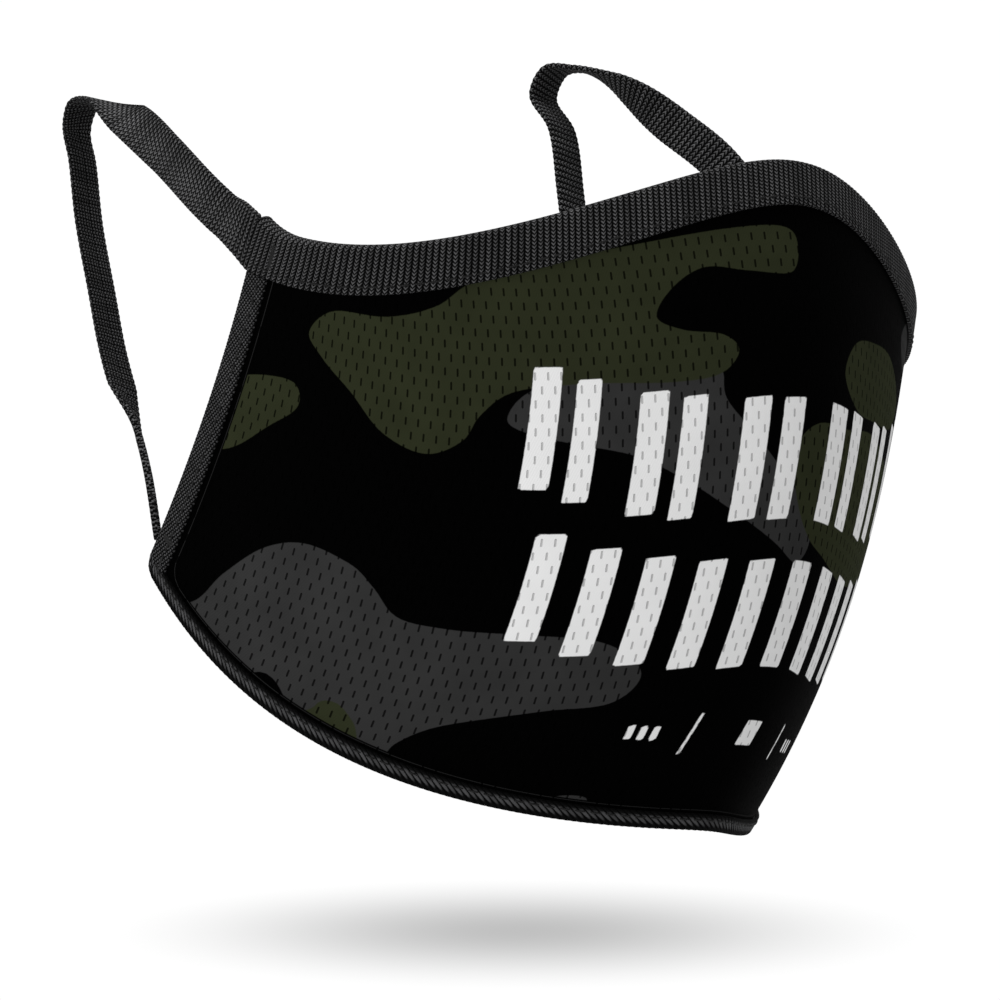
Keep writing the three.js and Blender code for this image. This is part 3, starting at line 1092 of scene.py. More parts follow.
@dataclass(frozen=True)
class SlantedMark:
    """A plain slanted bar or, with sides alike, a small lozenge of the white pattern."""

    across: float
    up: float
    width: float
    height: float
    lean: float = 0.12

    def distance(self, places: Array) -> Array:
        """How far places lie outside the bar."""
        y = places[:, 1] - self.up
        x = places[:, 0] - self.across - self.lean * y
        off = np.stack([np.abs(x) - self.width / 2, np.abs(y) - self.height / 2], axis=-1)
        return np.linalg.norm(np.clip(off, 0, None), axis=1) + np.minimum(off.max(axis=1), 0)


@dataclass(frozen=True)
class WhitePattern:
    """Two rows of bold bars over a row of small marks, standing where a slogan might."""

    reach: float = 53.0
    bend: float = 9.0

    def settled(self, across: float, middle: float) -> float:
        """The height of a row at a place, as it bends with the cup."""
        return middle + self.bend * (across / self.reach) ** 2

    def marks(self) -> list[SlantedMark]:
        """Every mark of the pattern.

        Returns:
            The marks.
        """
        made = []
        for pair in range(6):
            start = -49.0 + 19.6 * pair
            for shift, width in ((-3.7, 5.4), (3.9, 4.6)):
                at = start + shift
                made.append(SlantedMark(at, self.settled(at, 5.5), width, 22.0))
        for bar in range(11):
            at = -51.0 + 10.2 * bar
            made.append(SlantedMark(at, self.settled(at, -23.0), 5.6, 20.0))
        for at in (-27.5, -25.0, -22.5, 22.5, 25.0, 27.5):
            made.append(SlantedMark(at, self.settled(at, -46.0), 1.4, 2.8))
        for at in (-15.0, 0.0, 15.0):
            height, width = (8.0, 0.7) if at else (5.0, 5.0)
            made.append(SlantedMark(at, self.settled(at, -46.0), width, height, 0.3))
        return made


CAMO = (
    CamoPatch(Ink.OLIVE, (
        (-80, 80), (-77, 86), (-70, 86), (-64, 88), (-59, 92), (-48, 93), (-34, 92),
        (-20, 91), (-7, 90), (-4, 87), (-7, 83), (-18, 84), (-27, 86), (-33, 84),
        (-36, 80), (-32, 77), (-25, 75), (-22, 72), (-26, 69), (-34, 69), (-46, 71),
        (-55, 71), (-59, 67), (-61, 62), (-65, 59), (-70, 62), (-74, 69), (-78, 75))),
    CamoPatch(Ink.OLIVE, (
        (-92, 34), (-93, 50), (-89, 59), (-85, 65), (-81, 67), (-80, 62), (-83, 54),
        (-87, 42))),
    CamoPatch(Ink.OLIVE, (
        (13, 69), (18, 75), (27, 78), (38, 80), (48, 76), (44, 70), (30, 66), (20, 65))),
    CamoPatch(Ink.OLIVE, (
        (-7, 56), (1, 60), (16, 61), (32, 64), (50, 62), (56, 54), (46, 44), (28, 39),
        (10, 41), (0, 44), (-6, 50))),
    CamoPatch(Ink.OLIVE, (
        (-71, 1), (-70, 5), (-69.5, 6.8), (-68, 7.7), (-66.5, 6.6), (-65.2, 4.6), (-65, 1))),
    CamoPatch(Ink.OLIVE, (
        (60, 84), (66, 90), (75, 88), (84, 80), (82, 70), (75, 65), (67, 70), (62, 76))),
    CamoPatch(Ink.OLIVE, ((44, 14), (50, 22), (60, 20), (64, 10), (56, 4), (47, 6))),
    CamoPatch(Ink.GREY, (
        (-56, 66), (-53, 71), (-44, 73), (-32, 71), (-26, 70), (-25, 65), (-19, 59),
        (-8, 51), (0, 47), (3, 42), (-2, 39), (-11, 42), (-24, 48), (-32, 53), (-40, 58),
        (-48, 61), (-53, 63))),
    CamoPatch(Ink.GREY, (
        (-87, -6), (-84.4, 7), (-83, 16.5), (-80, 28), (-76, 34), (-71, 34), (-68, 31), (-65, 27),
        (-60, 27), (-52, 28), (-43, 28), (-37, 25.5), (-34.5, 22), (-38, 18), (-46, 16),
        (-53, 13), (-58, 9.5), (-61, 5), (-62, 1), (-66, -1), (-71, 0), (-73, 3.4),
        (-74, 4.8), (-75, 5.4), (-76, 5), (-77, 3), (-79, -4))),
    CamoPatch(Ink.GREY, ((-43, 1), (-40, 3), (-36, 3), (-37, 0), (-41, -2))),
    CamoPatch(Ink.GREY, (
        (55, 34), (62, 42), (72, 46), (83, 40), (91, 28), (86, 16), (75, 18), (64, 24))),
    CamoPatch(Ink.GREY, ((52, 94), (58, 98), (64, 95), (58, 86), (50, 84), (46, 88))),
)


# ---------------------------------------------------------------- sub-assemblies


@dataclass
class Cup:
    """The three cloth layers, the outer one printed."""

    columns: int = 260
    rows: int = 180

    def grid(self) -> tuple[Array, Array]:
        """The turns and rises of a layer's grid, with round bottom corners."""
        turn, rise = np.meshgrid(
            np.linspace(-QUARTER, QUARTER, self.columns + 1),
            np.linspace(0, 1, self.rows + 1),
            indexing="ij",
        )
        return CUP.rounded(turn, rise)

    def layer(self, name: str, depth: float, thickness: float,
              attributes: bool = False) -> bpy.types.Object:
        """Makes one layer.

        Args:
            name: The piece's name.
            depth: How far its outer face lies behind the cup's.
            thickness: The cloth's thickness.
            attributes: Whether to store the print on it.

        Returns:
            The layer.
        """
        turn, rise = self.grid()
        at = CUP.frame(turn, rise)
        across, up = CUP.cloth_place(turn, rise)
        near = at.point + at.inward * depth
        far = at.point + at.inward * (depth + thickness)
        both = lambda values: np.concatenate([values, values[:, ::-1]], axis=1)
        stored = None
        if attributes:
            places = np.stack([across.ravel(), up.ravel()], axis=-1)
            layers = {Ink.OLIVE: [], Ink.GREY: [], Ink.WHITE: []}
            for patch in CAMO:
                layers[patch.ink].append(patch.distance(places))
            for mark in WhitePattern().marks():
                layers[Ink.WHITE].append(mark.distance(places))
            stored = {
                ink.value: both(np.minimum.reduce(found).reshape(turn.shape))
                for ink, found in layers.items()
            }
            stored["edge_distance"] = both(CUP.edge_distance(turn, rise))
        around = both(up)
        return sweep(
            name, np.concatenate([near, far[:, ::-1]], axis=1), both(across),
            np.concatenate([around, around[:, :1]], axis=1), stored,
        )

    def build(self) -> list[bpy.types.Object]:
        """Builds and dresses the layers.

        Returns:
            The outer panel, the interlining and the lining.
        """
        step = OUTER_THICKNESS + CLOTH_GAP
        outer = self.layer("Outer_Panel", 0.0, OUTER_THICKNESS, attributes=True)
        middle = self.layer("Interlining", step, INTERLINING_THICKNESS)
        inner = self.layer(
            "Inner_Lining", step + INTERLINING_THICKNESS + CLOTH_GAP, LINING_THICKNESS
        )
        dress(outer, PrintedMesh().material())
        dress(middle, PlainKnit("BlackInterlining", (0.004, 0.004, 0.004)).material())
        dress(inner, PlainKnit("BlackLining", (0.008, 0.008, 0.0085)).material())
        for piece, node in ((outer, "outer_panel"), (middle, "interlining"),
                            (inner, "inner_lining")):
            across_fold(piece, node)
            area = sum(face.area for face in piece.data.polygons) / 2
            LOG.info("%s holds %.5f square metres of cloth", piece.name, area)
        return [outer, middle, inner]


def dress(piece: bpy.types.Object, material: bpy.types.Material) -> None:
    """Gives a piece its material."""
    piece.data.materials.append(material)


def across_fold(piece: bpy.types.Object, node: str | None) -> None:
    """Bakes a piece's placement and lets it stand for both halves of a node, if any, by hiding
    them.
    """
    if node is not None:
        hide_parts(f"{node}_right", f"{node}_left")
    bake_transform(piece)


@dataclass
class Binding:
    """Tape folded over an edge, its two legs holding the layers between them."""

    name: str
    node: str
    width: float
    path: EdgePath
    finish: RibbedTape
    low_finish: RibbedTape | None = None
    ridge: float = 0.11
    leg_points: int = 9
    fold_points: int = 9
    edge_past: float = 0.02
    edge_inside: float = 0.12
    edge_drop: float = 0.28
    edge_ridge: float = 0.2

    def profile(self) -> list[tuple[float, float, float, float]]:
        """The skin's points: inset, depth, how far past the edge, and how far a rib lifts."""
        outside, inside = -OVERHANG, STACK + OVERHANG
        middle, reach = STACK / 2, STACK / 2 + OVERHANG
        selvedge, last = self.width + self.edge_past, self.width - self.edge_inside
        rows = [(selvedge, outside + self.edge_drop, 0.0, self.edge_ridge)]
        for inset in np.linspace(last, 0.0, self.leg_points):
            rows.append((float(inset), outside, 0.0, 1.0))
        for angle in np.linspace(0, math.pi, self.fold_points + 2)[1:-1]:
            rows.append((0.0, middle - reach * math.cos(angle), OVERHANG * math.sin(angle), 1.0))
        for inset in np.linspace(0.0, last, self.leg_points):
            rows.append((float(inset), inside, 0.0, 1.0))
        rows.append((selvedge, inside - self.edge_drop, 0.0, self.edge_ridge))
        return rows

    def build(self) -> bpy.types.Object:
        """Builds and dresses the tape.

        Returns:
            The binding.
        """
        path = self.path.evenly(RIB_PITCH / 4, self.width / 2)
        out = path.outward()
        low = np.zeros(len(path.run), dtype=int)
        if self.low_finish is not None:
            edge = path.frame(0.0)
            low = (np.linalg.norm(edge.upwards * path.rise_in[:, None], axis=1)
                   > np.linalg.norm(edge.turnwards * path.turn_in[:, None], axis=1)).astype(int)
        kinds = [self.finish, self.low_finish or self.finish]
        lean = np.choose(low, [kind.lean for kind in kinds])
        pitch = np.choose(low, [kind.rib_pitch for kind in kinds])
        skin, slot, across, length = [], [], [], 0.0
        before: tuple[float, float, float] | None = None
        for inset, depth, past, lift in self.profile():
            if before is not None:
                length += math.dist(before, (inset, depth, past))
            before = (inset, depth, past)
            across.append(length)
            rib = np.cos(2 * math.pi * ((path.run + lean * length) / pitch - 0.5))
            at = path.frame(inset)
            leaving = np.sign(depth - STACK / 2) if past == 0 else (depth - STACK / 2) / (
                STACK / 2 + OVERHANG)
            raised = lift * self.ridge * rib[:, None] * leaving
            skin.append(at.point + at.inward * (depth + raised) + out * past)
            within = float(np.clip(depth, -CLOTH_GAP, STACK + CLOTH_GAP))
            slot.append(at.point + at.inward * within + out * past * CLOTH_GAP / OVERHANG)
        points = np.stack([*skin, *slot[::-1]], axis=1)
        around = np.array([*across, *across[::-1], across[0]])
        piece = sweep(self.name, points, path.run, around, slots=low[:-1, None])
        dress(piece, self.finish.material())
        if self.low_finish is not None:
            piece.data.materials.append(self.low_finish.material())
        across_fold(piece, self.node)
        return piece


@dataclass
class Stitching:
    """A row of lock stitches that follows an edge."""

    name: str
    node: str | None
    path: EdgePath
    inset: float
    stitch: float = 2.3
    space: float = 0.5
    radius: float = 0.19
    depth: float = -OVERHANG - 0.06
    margins: tuple[float, float] = (1.2, 1.2)
    dips: tuple[float, ...] = (0.34, 0.08, 0, 0, 0, 0.08, 0.34)

    def build(self, material: bpy.types.Material) -> bpy.types.Object:
        """Builds the stitches.

        Args:
            material: The thread's finish.

        Returns:
            The row as one piece.
        """
        lines = self.path.stitches(self.inset, self.depth, self.stitch, self.space,
                                   self.margins, self.dips)
        piece = tube(self.name, lines, self.radius)
        dress(piece, material)
        across_fold(piece, self.node)
        return piece


@dataclass
class Bartack:
    """A dense zigzag of thread that locks a tape's end."""

    node: str
    side: Side
    near: tuple[float, float]
    far: tuple[float, float]
    length: float = 1.4
    turns: int = 13
    radius: float = 0.16
    depth: float = 0.06 - OVERHANG

    def build(self, material: bpy.types.Material) -> bpy.types.Object:
        """Builds the zigzag.

        Args:
            material: The thread's finish.

        Returns:
            The bartack, riding on its half.
        """
        name = f"{self.node}_{self.side.word}"
        sign = self.side.value
        ends = [CUP.frame(np.array(sign * turn), np.array(rise)) for turn, rise in
                (self.near, self.far)]
        middle = [end.point + end.inward * self.depth for end in ends]
        along = unit(middle[1] - middle[0])
        aside = unit(np.cross(along, ends[0].inward)) * self.length / 2
        share = np.linspace(0, 1, 2 * self.turns + 1)
        swing = np.where(np.arange(len(share)) % 2 == 0, -1.0, 1.0)
        line = (middle[0] + (middle[1] - middle[0]) * share[:, None] + aside * swing[:, None])
        fine = np.linspace(0, len(line) - 1, 4 * len(line))
        line = np.stack([np.interp(fine, np.arange(len(line)), line[:, k]) for k in range(3)],
                        axis=-1)
        piece = tube("Bartack_" + name, [line], self.radius)
        dress(piece, material)
        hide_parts(name)
        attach(piece, f"{self.side.word}_half")
        return piece


@dataclass
class NosePiece:
    """The bendable nose wire and the sewn sleeve that holds it behind the top edge."""

    wire_width: float = 3.0
    wire_thickness: float = 0.5
    wire_turn: float = 35.0
    sleeve_thickness: float = 0.4
    margin: float = 1.2
    slope: float = 0.6
    sleeve_end: float = 5.0

    @property
    def start(self) -> float:
        """How far in from the top edge the wire begins."""
        return TOP_BINDING_WIDTH + CLOTH_GAP + self.margin + self.slope

    def strip(self, name: str, turn: float, skin: Sequence[tuple[float, float]],
              thickness: float) -> bpy.types.Object:
        """Makes a strip that follows the top edge.

        Args:
            name: The piece's name.
            turn: Where it ends on each side.
            skin: The inset and depth of its outer points.
            thickness: Its thickness, towards the face.

        Returns:
            The strip.
        """
        path = top_path(turn, 0.0).evenly(0.8, self.start)
        layers = []
        for extra in (0.0, thickness):
            rows = []
            for inset, depth in skin:
                at = path.frame(inset)
                rows.append(at.point + at.inward * (depth + extra))
            layers.append(rows)
        insets = [inset for inset, _ in skin]
        points = np.stack([*layers[0], *layers[1][::-1]], axis=1)
        around = np.array([*insets, *insets[::-1], insets[0]])
        return sweep(name, points, path.run, around)

    def build(self, sleeve: bpy.types.Material, wire: bpy.types.Material,
              thread: bpy.types.Material) -> list[bpy.types.Object]:
        """Builds the wire, its sleeve and the sleeve's two rows of stitches.

        Args:
            sleeve: The sleeve's finish.
            wire: The wire's finish.
            thread: The thread's finish.

        Returns:
            The pieces.
        """
        depth = STACK + CLOTH_GAP
        start, end = self.start, self.start + self.wire_width
        raised = depth + self.wire_thickness + CLOTH_GAP
        profile = [
            (start - self.slope - self.margin, depth),
            (start - self.slope - self.margin * 0.5, depth + 0.03),
            (start - self.slope, depth),
            (start - CLOTH_GAP, raised),
            (start + self.wire_width * 0.5, raised + 0.08),
            (end + CLOTH_GAP, raised),
            (end + self.slope, depth),
            (end + self.slope + self.margin * 0.5, depth + 0.03),
            (end + self.slope + self.margin, depth),
        ]
        cover = self.strip("Nose_Wire_Sleeve", self.wire_turn + self.sleeve_end, profile,
                           self.sleeve_thickness)
        dress(cover, sleeve)
        across_fold(cover, "nose_wire_sleeve")
        flat = [(start + self.wire_width * k / 4, depth) for k in range(5)]
        core = self.strip("Nose_Wire", self.wire_turn, flat, self.wire_thickness)
        dress(core, wire)
        across_fold(core, "nose_wire")
        made = [cover, core]
        path = top_path(self.wire_turn + self.sleeve_end, 0.0)
        for word, inset in (("Upper", start - self.slope - self.margin / 2),
                            ("Lower", end + self.slope + self.margin / 2)):
            row = Stitching(
                f"Sleeve_Stitches_{word}", None, path, inset, stitch=2.1, radius=0.16,
                depth=depth + self.sleeve_thickness + 0.05, margins=(0.8, 0.7),
                dips=(-0.3, -0.06, 0, 0, -0.06, -0.3),
            )
            made.append(row.build(thread))
        return made


class StrapWidth(Enum):
    """The direction in which a strap's width lies, on the wearer's left."""

    UPRIGHT = (0.0, 0.0, 1.0)
    ACROSS = (-0.985, 0.174, 0.0)
    ACROSS_BACK = (-0.998, -0.06, 0.0)
    LEANING = (-0.25, 0.0, 0.97)
    TURNING_UP = (-0.5, 0.0, 0.5)
    EDGEWISE = (-0.7, 0.63, -0.28)


U, A, B = StrapWidth.UPRIGHT, StrapWidth.ACROSS, StrapWidth.ACROSS_BACK
T, E, L = StrapWidth.TURNING_UP, StrapWidth.EDGEWISE, StrapWidth.LEANING
Route = tuple[tuple[float, float, float, StrapWidth], ...]


@dataclass
class EarStrap:
    """The tape that runs on from the top binding, round the ear and down to the corner."""

    side: Side
    from_top: Route
    from_bottom: Route
    run_start: float
    width: float = TOP_BINDING_WIDTH
    thickness: float = 1.0
    end_width: float = 2.0
    end_thickness: float = 1.5
    clearance: float = 0.95
    end_rise: float = 0.06
    pinch: tuple[float, float] = (0.78, 0.97)
    join: float = 12.0
    join_climb: float = 1.6
    cover: float = 0.25
    cover_run: float = 4.0
    bend: float = 12.0
    step: float = RIB_PITCH / 4

    def anchor(self, rise: float) -> Array:
        """A point on the line that the strap swings about, on the wearer's left."""
        at = CUP.frame(np.array(QUARTER), np.array(rise))
        back = unit(at.turnwards) * (OVERHANG + self.clearance)
        return at.point + at.inward * STACK / 2 + back

    def anchors(self) -> tuple[Array, Array]:
        """The top and bottom anchors."""
        _, per_rise = CUP.scales(np.array(QUARTER), np.array(1.0))
        return self.anchor(1 - self.width / 2 / float(per_rise)), self.anchor(self.end_rise)

    def route(self) -> tuple[Array, Array, Array]:
        """The middle line from one anchor to the other, a quarter of a rib apart.

        Returns:
            Its points, width directions and shares of the whole, on the wearer's left.
        """
        top, bottom = self.anchors()
        hinge = unit(top - bottom)
        place = lambda row, base: np.array([row[0], base[1] + row[1], base[2] + row[2]])
        control = np.array([
            top, *(place(row, top) for row in self.from_top),
            *(place(row, bottom) for row in self.from_bottom), bottom,
        ])
        hints = np.array([
            hinge, *(row[3].value for row in self.from_top),
            *(row[3].value for row in self.from_bottom), StrapWidth.EDGEWISE.value,
        ])
        fine = np.linspace(0, 1, 2400)
        run = lengths_along(centripetal(control, fine))
        share = np.interp(np.arange(0, run[-1], self.step), run, fine)
        points = centripetal(control, share)
        tangent = unit(np.gradient(points, axis=0))
        spot = share * (len(control) - 1)
        hint = np.stack([np.interp(spot, np.arange(len(control)), hints[:, k])
                         for k in range(3)], axis=-1)
        return points, square_to(hint, tangent), share

    def spine(self) -> tuple[Array, Array, Array, Array]:
        """The route with a start that runs straight on from the top binding's end.

        Returns:
            Its points, width directions, face directions and shares of the whole.
        """
        points, across, share = self.route()
        kept = np.arange(len(points)) * self.step > self.join
        target, arriving = points[kept][0], unit(np.gradient(points, axis=0))[kept][0]
        per_rise = float(CUP.scales(np.array(QUARTER), np.array(1.0))[1])
        seat = CUP.frame(np.array(QUARTER),
                         np.array(1 - (self.width - OVERHANG - STRAP_LIFT) / 2 / per_rise))
        begin = seat.point + seat.inward * STACK / 2 + unit(seat.turnwards) * (OVERHANG - 0.1)
        first = unit(seat.upwards)
        heading = unit(unit(seat.turnwards) + first * self.join_climb * STRAP_LIFT / LIFT_RUN)
        reach = float(np.linalg.norm(target - begin))
        count = int(round(reach / self.step))
        t = (np.arange(count) / count)[:, None]
        lead = (
            begin * (1 + 2 * t) * (1 - t) ** 2 + heading * reach * t * (1 - t) ** 2
            + target * t**2 * (3 - 2 * t) - arriving * reach * t**2 * (1 - t)
        )
        ease = smooth(t)
        turned = first * (1 - ease) + across[kept][0] * ease
        points = np.concatenate([lead, points[kept]])
        across = np.concatenate([turned, across[kept]])
        share = np.concatenate([share[kept][0] * t[:, 0], share[kept]])
        tangent = unit(np.gradient(points, axis=0))
        upright = square_to(across, tangent)
        square = smooth(lengths_along(points) / self.join)[:, None]
        across = unit(across * (1 - square) + upright * square)
        return points, across, unit(np.cross(tangent, across)), share

    def section(self) -> list[tuple[float, float]]:
        """The strap's round-edged section, from -1 to 1 across and through."""
        outer = [(x, 1.0) for x in np.linspace(-0.92, 0.92, 11)]
        top = [(0.975, 0.72), (1.0, 0.25), (1.0, -0.25), (0.975, -0.72)]
        inner = [(-x, -1.0 if abs(x) > 0.1 else -0.72) for x in np.linspace(-0.92, 0.92, 11)]
        under = [(-0.975, -0.72), (-1.0, -0.25), (-1.0, 0.25), (-0.975, 0.72)]
        return [*under[2:], *outer, *top, *inner, *under[:2]]

    def build(self, outer: bpy.types.Material, inner: bpy.types.Material) -> bpy.types.Object:
        """Builds and dresses the strap.

        Args:
            outer: The finish of the face that shows on the top binding.
            inner: The finish of the face with the meeting edges.

        Returns:
            The strap.
        """
        points, across, face, share = self.spine()
        run = lengths_along(points)
        joined = 1 - smooth(run / self.join)
        pinched = smooth((share - self.pinch[0]) / (self.pinch[1] - self.pinch[0]))
        half = (self.width + (self.end_width - self.width) * pinched) / 2
        half = half + joined * (OVERHANG + STRAP_LIFT) / 2
        half = half + self.cover * (1 - smooth(run / self.cover_run))
        thick = (self.thickness + (self.end_thickness - self.thickness) * pinched) / 2
        points = points + face * (joined * (STACK / 2 + OVERHANG - self.thickness / 2))[:, None]
        rib = np.cos(2 * math.pi * ((run + self.run_start) / RIB_PITCH - 0.5))
        section = self.section()
        columns = []
        for x, through_it in section:
            lifted = thick + 0.07 * rib * abs(through_it)
            wide = half + 0.05 * rib * (abs(x) > 0.95)
            columns.append(points + across * (x * wide)[:, None]
                           + face * (through_it * lifted)[:, None])
        made = np.stack(columns, axis=1) * [self.side.value, 1, 1]
        pairs = list(zip(section, section[1:] + section[:1]))
        facing = np.array([0 if a[1] + b[1] > -0.5 else 1 for a, b in pairs])
        name = f"ear_loop_{self.side.word}"
        wide = (half / half.max())[:, None] * self.around()
        piece = sweep(f"Ear_Strap_{self.side.word.title()}", made,
                      self.side.value * (run + self.run_start), wide, slots=facing)
        dress(piece, outer)
        piece.data.materials.append(inner)
        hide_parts(name)
        top, bottom = (a * [self.side.value, 1, 1] * MM for a in self.anchors())
        line = unit(top - bottom)
        back = np.array([0.0, 1.0, 0.0])
        back = unit(back - line * (back @ line))
        tuple(top)
        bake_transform(piece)
        return piece

    def around(self) -> Array:
        """How far round the section each of its points lies, and the whole way round."""
        section = np.array(self.section())
        gaps = np.roll(section, -1, axis=0) - section
        sizes = np.hypot(gaps[:, 0] * self.width / 2, gaps[:, 1] * self.thickness / 2)
        return np.concatenate([[0.0], np.cumsum(sizes)])

    def groove(self) -> float:
        """Where round the section the meeting edges lie."""
        lies = [y < -0.5 and abs(x) < 0.1 for x, y in self.section()]
        return float(self.around()[lies.index(True)])


RIGHT_ROUTES: tuple[Route, Route] = (
    ((76, 7, 6, L), (74.5, 15, 11.5, L), (70, 30, 21.5, L), (65.5, 45, 30.5, T),
     (62.5, 55, 35, A), (61, 62, 35.5, A), (60, 65, 31.5, A)),
    ((60, 25.5, 74, A), (60, 23.5, 62, A), (60, 20, 49, A), (60, 17, 38, A),
     (60.5, 13.5, 30, A), (61.5, 8, 20.5, E), (63, 3.5, 12, E)),
)
LEFT_ROUTES: tuple[Route, Route] = (
    ((76, 5, 9, U), (74, 11, 22, U), (71, 19, 35, U), (68, 30, 44.5, U),
     (65, 41, 53, T), (62.5, 50, 57.5, B), (61, 55.3, 57.5, B), (60, 57.6, 52.5, B)),
    ((60, 14.6, 94, B), (60, 12.2, 81, B), (60, 10, 66, B), (60, 8, 50, B),
     (60.5, 5.8, 34, B), (61.5, 3.5, 20.5, E), (63, 2, 10, E)),
)


# ---------------------------------------------------------------- studio


@dataclass
class Studio:
    """The camera, the soft lights and the pale floor."""

    azimuth: float = -46.0
    elevation: float = -7.0
    lens: float = 250.0
    distance: float = 1.31027
    aim: tuple[float, float, float] = (0.0, -0.0055, 0.0)
    card_radius: float = 0.088
    card_slope: float = 4.3
    floor_height: float = -0.2

    def axes(self) -> tuple[Vector, Vector, Vector]:
        """The camera's right, up and back directions."""
        a, e = math.radians(self.azimuth), math.radians(self.elevation)
        right = Vector((math.cos(a), math.sin(a), 0))
        back = Vector((math.sin(a) * math.cos(e), -math.cos(a) * math.cos(e), math.sin(e)))
        return right, back.cross(right), back

    def camera(self) -> None:
        """Sets up the camera."""
        right, up, back = self.axes()
        data = bpy.data.cameras.new("Camera")
        data.lens, data.sensor_width = self.lens, 36.0
        data.clip_start, data.clip_end = 0.01, 50.0
        made = bpy.data.objects.new("Camera", data)
        turned = Matrix((right, up, back)).transposed()
        made.matrix_world = Matrix.Translation(
            Vector(self.aim) + back * self.distance) @ turned.to_4x4()
        bpy.context.scene.collection.objects.link(made)
        bpy.context.scene.camera = made

    def lamp(self, name: str, aside: float, above: float, towards: float, size: float,
             power: float, shadow: bool = True) -> None:
        """Adds a soft square light that faces the object.

        Args:
            name: The light's name.
            aside: Metres to the camera's right.
            above: Metres up.
            towards: Metres towards the camera.
            size: The light's side in metres.
            power: Its power in watts.
            shadow: Whether it casts shadows.
        """
        right, up, back = self.axes()
        data = bpy.data.lights.new(name, "AREA")
        data.shape, data.size, data.energy = "SQUARE", size, power
        data.use_shadow = shadow
        made = bpy.data.objects.new(name, data)
        offset = right * aside + up * above + back * towards
        made.location = Vector(self.aim) + offset
        made.rotation_mode = "QUATERNION"
        made.rotation_quaternion = offset.to_track_quat("Z", "Y")
        bpy.context.scene.collection.objects.link(made)

    def pale(self, name: str, lift: float) -> bpy.types.Material:
        """A pale matt surface that only shows from above.

        Args:
            name: The material's name.
            lift: How bright it is of itself.

        Returns:
            The material.
        """
        made, board, shader = start_material(name)
        place = board.node("TexCoord").outputs["Object"]
        grain = board.math("MULTIPLY_ADD", board.noise(place, 40.0, 3.0), 0.02, 0.89)
        finish_surface(board, shader, board.node("CombineColor", grain, grain, grain).outputs[0],
                       0.9, 0.0)
        shader.inputs["Emission Color"].default_value = (1, 1, 1, 1)
        shader.inputs["Emission Strength"].default_value = lift
        self.only_above(made, board, shader)
        return made

    def shade(self, name: str, middle: Vector) -> bpy.types.Material:
        """The card's painted round soft shadow, a glow that is deepest under the mask.

        Args:
            name: The material's name.
            middle: The middle of the painted shadow.

        Returns:
            The material.
        """
        made, board, shader = start_material(name)
        place = board.node("TexCoord").outputs["Object"]
        away = board.node("VectorMath", place, tuple(middle), operation="DISTANCE")
        # Painted shadow: the card glows 0.53 at the middle and just past white at its rim.
        light = board.step(away.outputs["Value"], 0.0, self.card_radius - 0.003, 0.53, 1.02)
        finish_surface(board, shader, (0.0, 0.0, 0.0, 1.0), 1.0, 0.0)
        board.feed(shader.inputs["Emission Color"],
                   board.node("CombineColor", light, light, light).outputs[0])
        shader.inputs["Emission Strength"].default_value = 1.0
        self.only_above(made, board, shader)
        return made

    @staticmethod
    def only_above(made: bpy.types.Material, board: Board, shader: bpy.types.Node) -> None:
        """Makes a surface clear from behind."""
        clear = board.node("BsdfTransparent").outputs[0]
        behind = board.node("NewGeometry").outputs["Backfacing"]
        both = board.node("MixShader", behind, shader.outputs[0], clear)
        output = made.node_tree.nodes["Material Output"]
        made.node_tree.links.new(both.outputs[0], output.inputs["Surface"])

    def floor(self) -> None:
        """Lays the large floor and the small card that holds a painted soft shadow under the mask.
        """
        right, up, back = self.axes()
        slope = math.radians(self.card_slope)
        normal = up * math.cos(slope) + back * math.sin(slope)
        deep = normal.cross(right)
        middle = Vector(self.aim) + right * 0.0038 - up * 0.0813
        for name, centre, first, second, reach, finish in (
            ("Shadow_Card", middle, right, deep, self.card_radius,
             self.shade("Shadow_Card_Shade", middle)),
            ("Floor", Vector((0, 0, self.floor_height)), Vector((1, 0, 0)), Vector((0, 1, 0)),
             6.0, self.pale("Floor_Pale", 0.35)),
        ):
            angle = np.linspace(0, 2 * math.pi, 96, endpoint=False)
            ring = [centre + first * reach * math.cos(t) + second * reach * math.sin(t)
                    for t in angle]
            mesh = bpy.data.meshes.new(name)
            mesh.from_pydata([tuple(p) for p in ring], [], [tuple(range(len(ring)))])
            mesh.update()
            if mesh.polygons[0].normal.z < 0:
                mesh.flip_normals()
            piece = bpy.data.objects.new(name, mesh)
            piece.data.materials.append(finish)
            bpy.context.scene.collection.objects.link(piece)
            piece.visible_shadow = False
            piece.visible_diffuse = False

    def world(self, light: float) -> None:
        """Sets the white surroundings.

        Args:
            light: How strongly they light the object.
        """
        made = bpy.data.worlds.new("Studio")
        made.use_nodes = True
        board = Board(made.node_tree)
        background = made.node_tree.nodes["Background"]
        seen = board.node("LightPath").outputs["Is Camera Ray"]
        background.inputs["Color"].default_value = (1, 1, 1, 1)
        board.feed(background.inputs["Strength"],
                   board.math("MULTIPLY_ADD", seen, 1.02 - light, light))
        bpy.context.scene.world = made
        bpy.context.scene.view_settings.view_transform = "Standard"

    def build(self) -> None:
        """Builds the whole studio."""
        self.camera()
        self.world(0.55)
        self.lamp("Overhead_Softbox", 0.0, 0.9, 0.0, 0.35, 6.0)
        self.lamp("Key_Softbox", -0.9, 0.5, 0.9, 0.7, 9.0, shadow=False)
        self.floor()


# ---------------------------------------------------------------- main


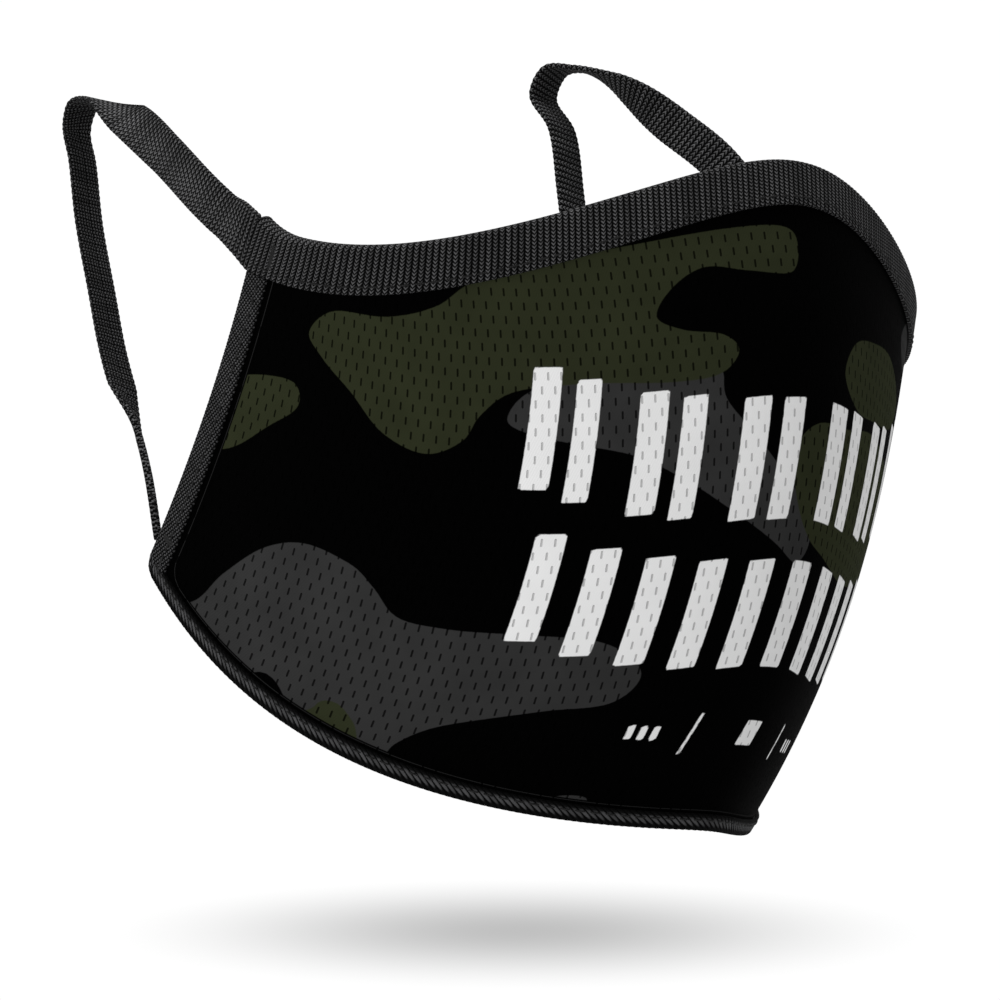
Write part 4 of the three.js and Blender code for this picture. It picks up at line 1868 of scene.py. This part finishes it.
def main() -> None:
    """Builds every piece in order."""
    logging.basicConfig(level=logging.INFO, format="%(message)s")
    thread = SewingThread().material()
    made = Cup().build()

    upper, lower = top_path(end_lift=BINDING_LIFT), lower_path()
    tape = RibbedTape("RibbedTape")
    top = Binding("Top_Binding", "top_binding", TOP_BINDING_WIDTH, upper, tape)
    made.append(top.build())
    twill = RibbedTape("TwillTape", rib_pitch=0.75, loop_pitch=0.5, lean=0.6, chevron=0.35,
                       glint=(0.085, 0.085, 0.087))
    rope = RibbedTape("RopeTape", rib_pitch=1.3, loop_pitch=5.0, lean=-0.85, chevron=0.1,
                      shift=0.0, glint=(0.075, 0.075, 0.077))
    made.append(Binding("Lower_Binding", "lower_binding", LOWER_BINDING_WIDTH, lower, twill,
                        rope).build())
    made.append(Stitching("Top_Stitching", "top_stitching", upper,
                          TOP_BINDING_WIDTH - 1.5).build(thread))
    made.append(Stitching("Lower_Stitching", "lower_stitching", lower,
                          LOWER_BINDING_WIDTH - 1.5).build(thread))
    for side in Side:
        made.append(Bartack("top_bartack", side, (86.6, 0.985), (86.6, 0.915)).build(thread))
        made.append(Bartack("bottom_bartack", side, (89.5, 0.11), (88.5, 0.11)).build(thread))

    lining = PlainKnit("SleeveCloth", (0.010, 0.010, 0.0105), pitch=0.45).material()
    made.extend(NosePiece().build(lining, BareWire().material(), thread))

    end = float(upper.evenly(RIB_PITCH / 4, TOP_BINDING_WIDTH / 2).run[-1])
    face = tape.material()
    inner = None
    for side, routes in ((Side.RIGHT, RIGHT_ROUTES), (Side.LEFT, LEFT_ROUTES)):
        strap = EarStrap(side, *routes, run_start=end)
        if inner is None:
            inner = RibbedTape("StrapInside", rib_pitch=0.68, loop_pitch=0.6, lean=0.0,
                               chevron=0.45, shift=0.2, groove_at=strap.groove()).material()
        made.append(strap.build(face, inner if side is Side.RIGHT else face))

    for piece in made:
        LOG.info("%s: %d faces", piece.name, len(piece.data.polygons))
    Studio().build()


if __name__ == "__main__":
    main()
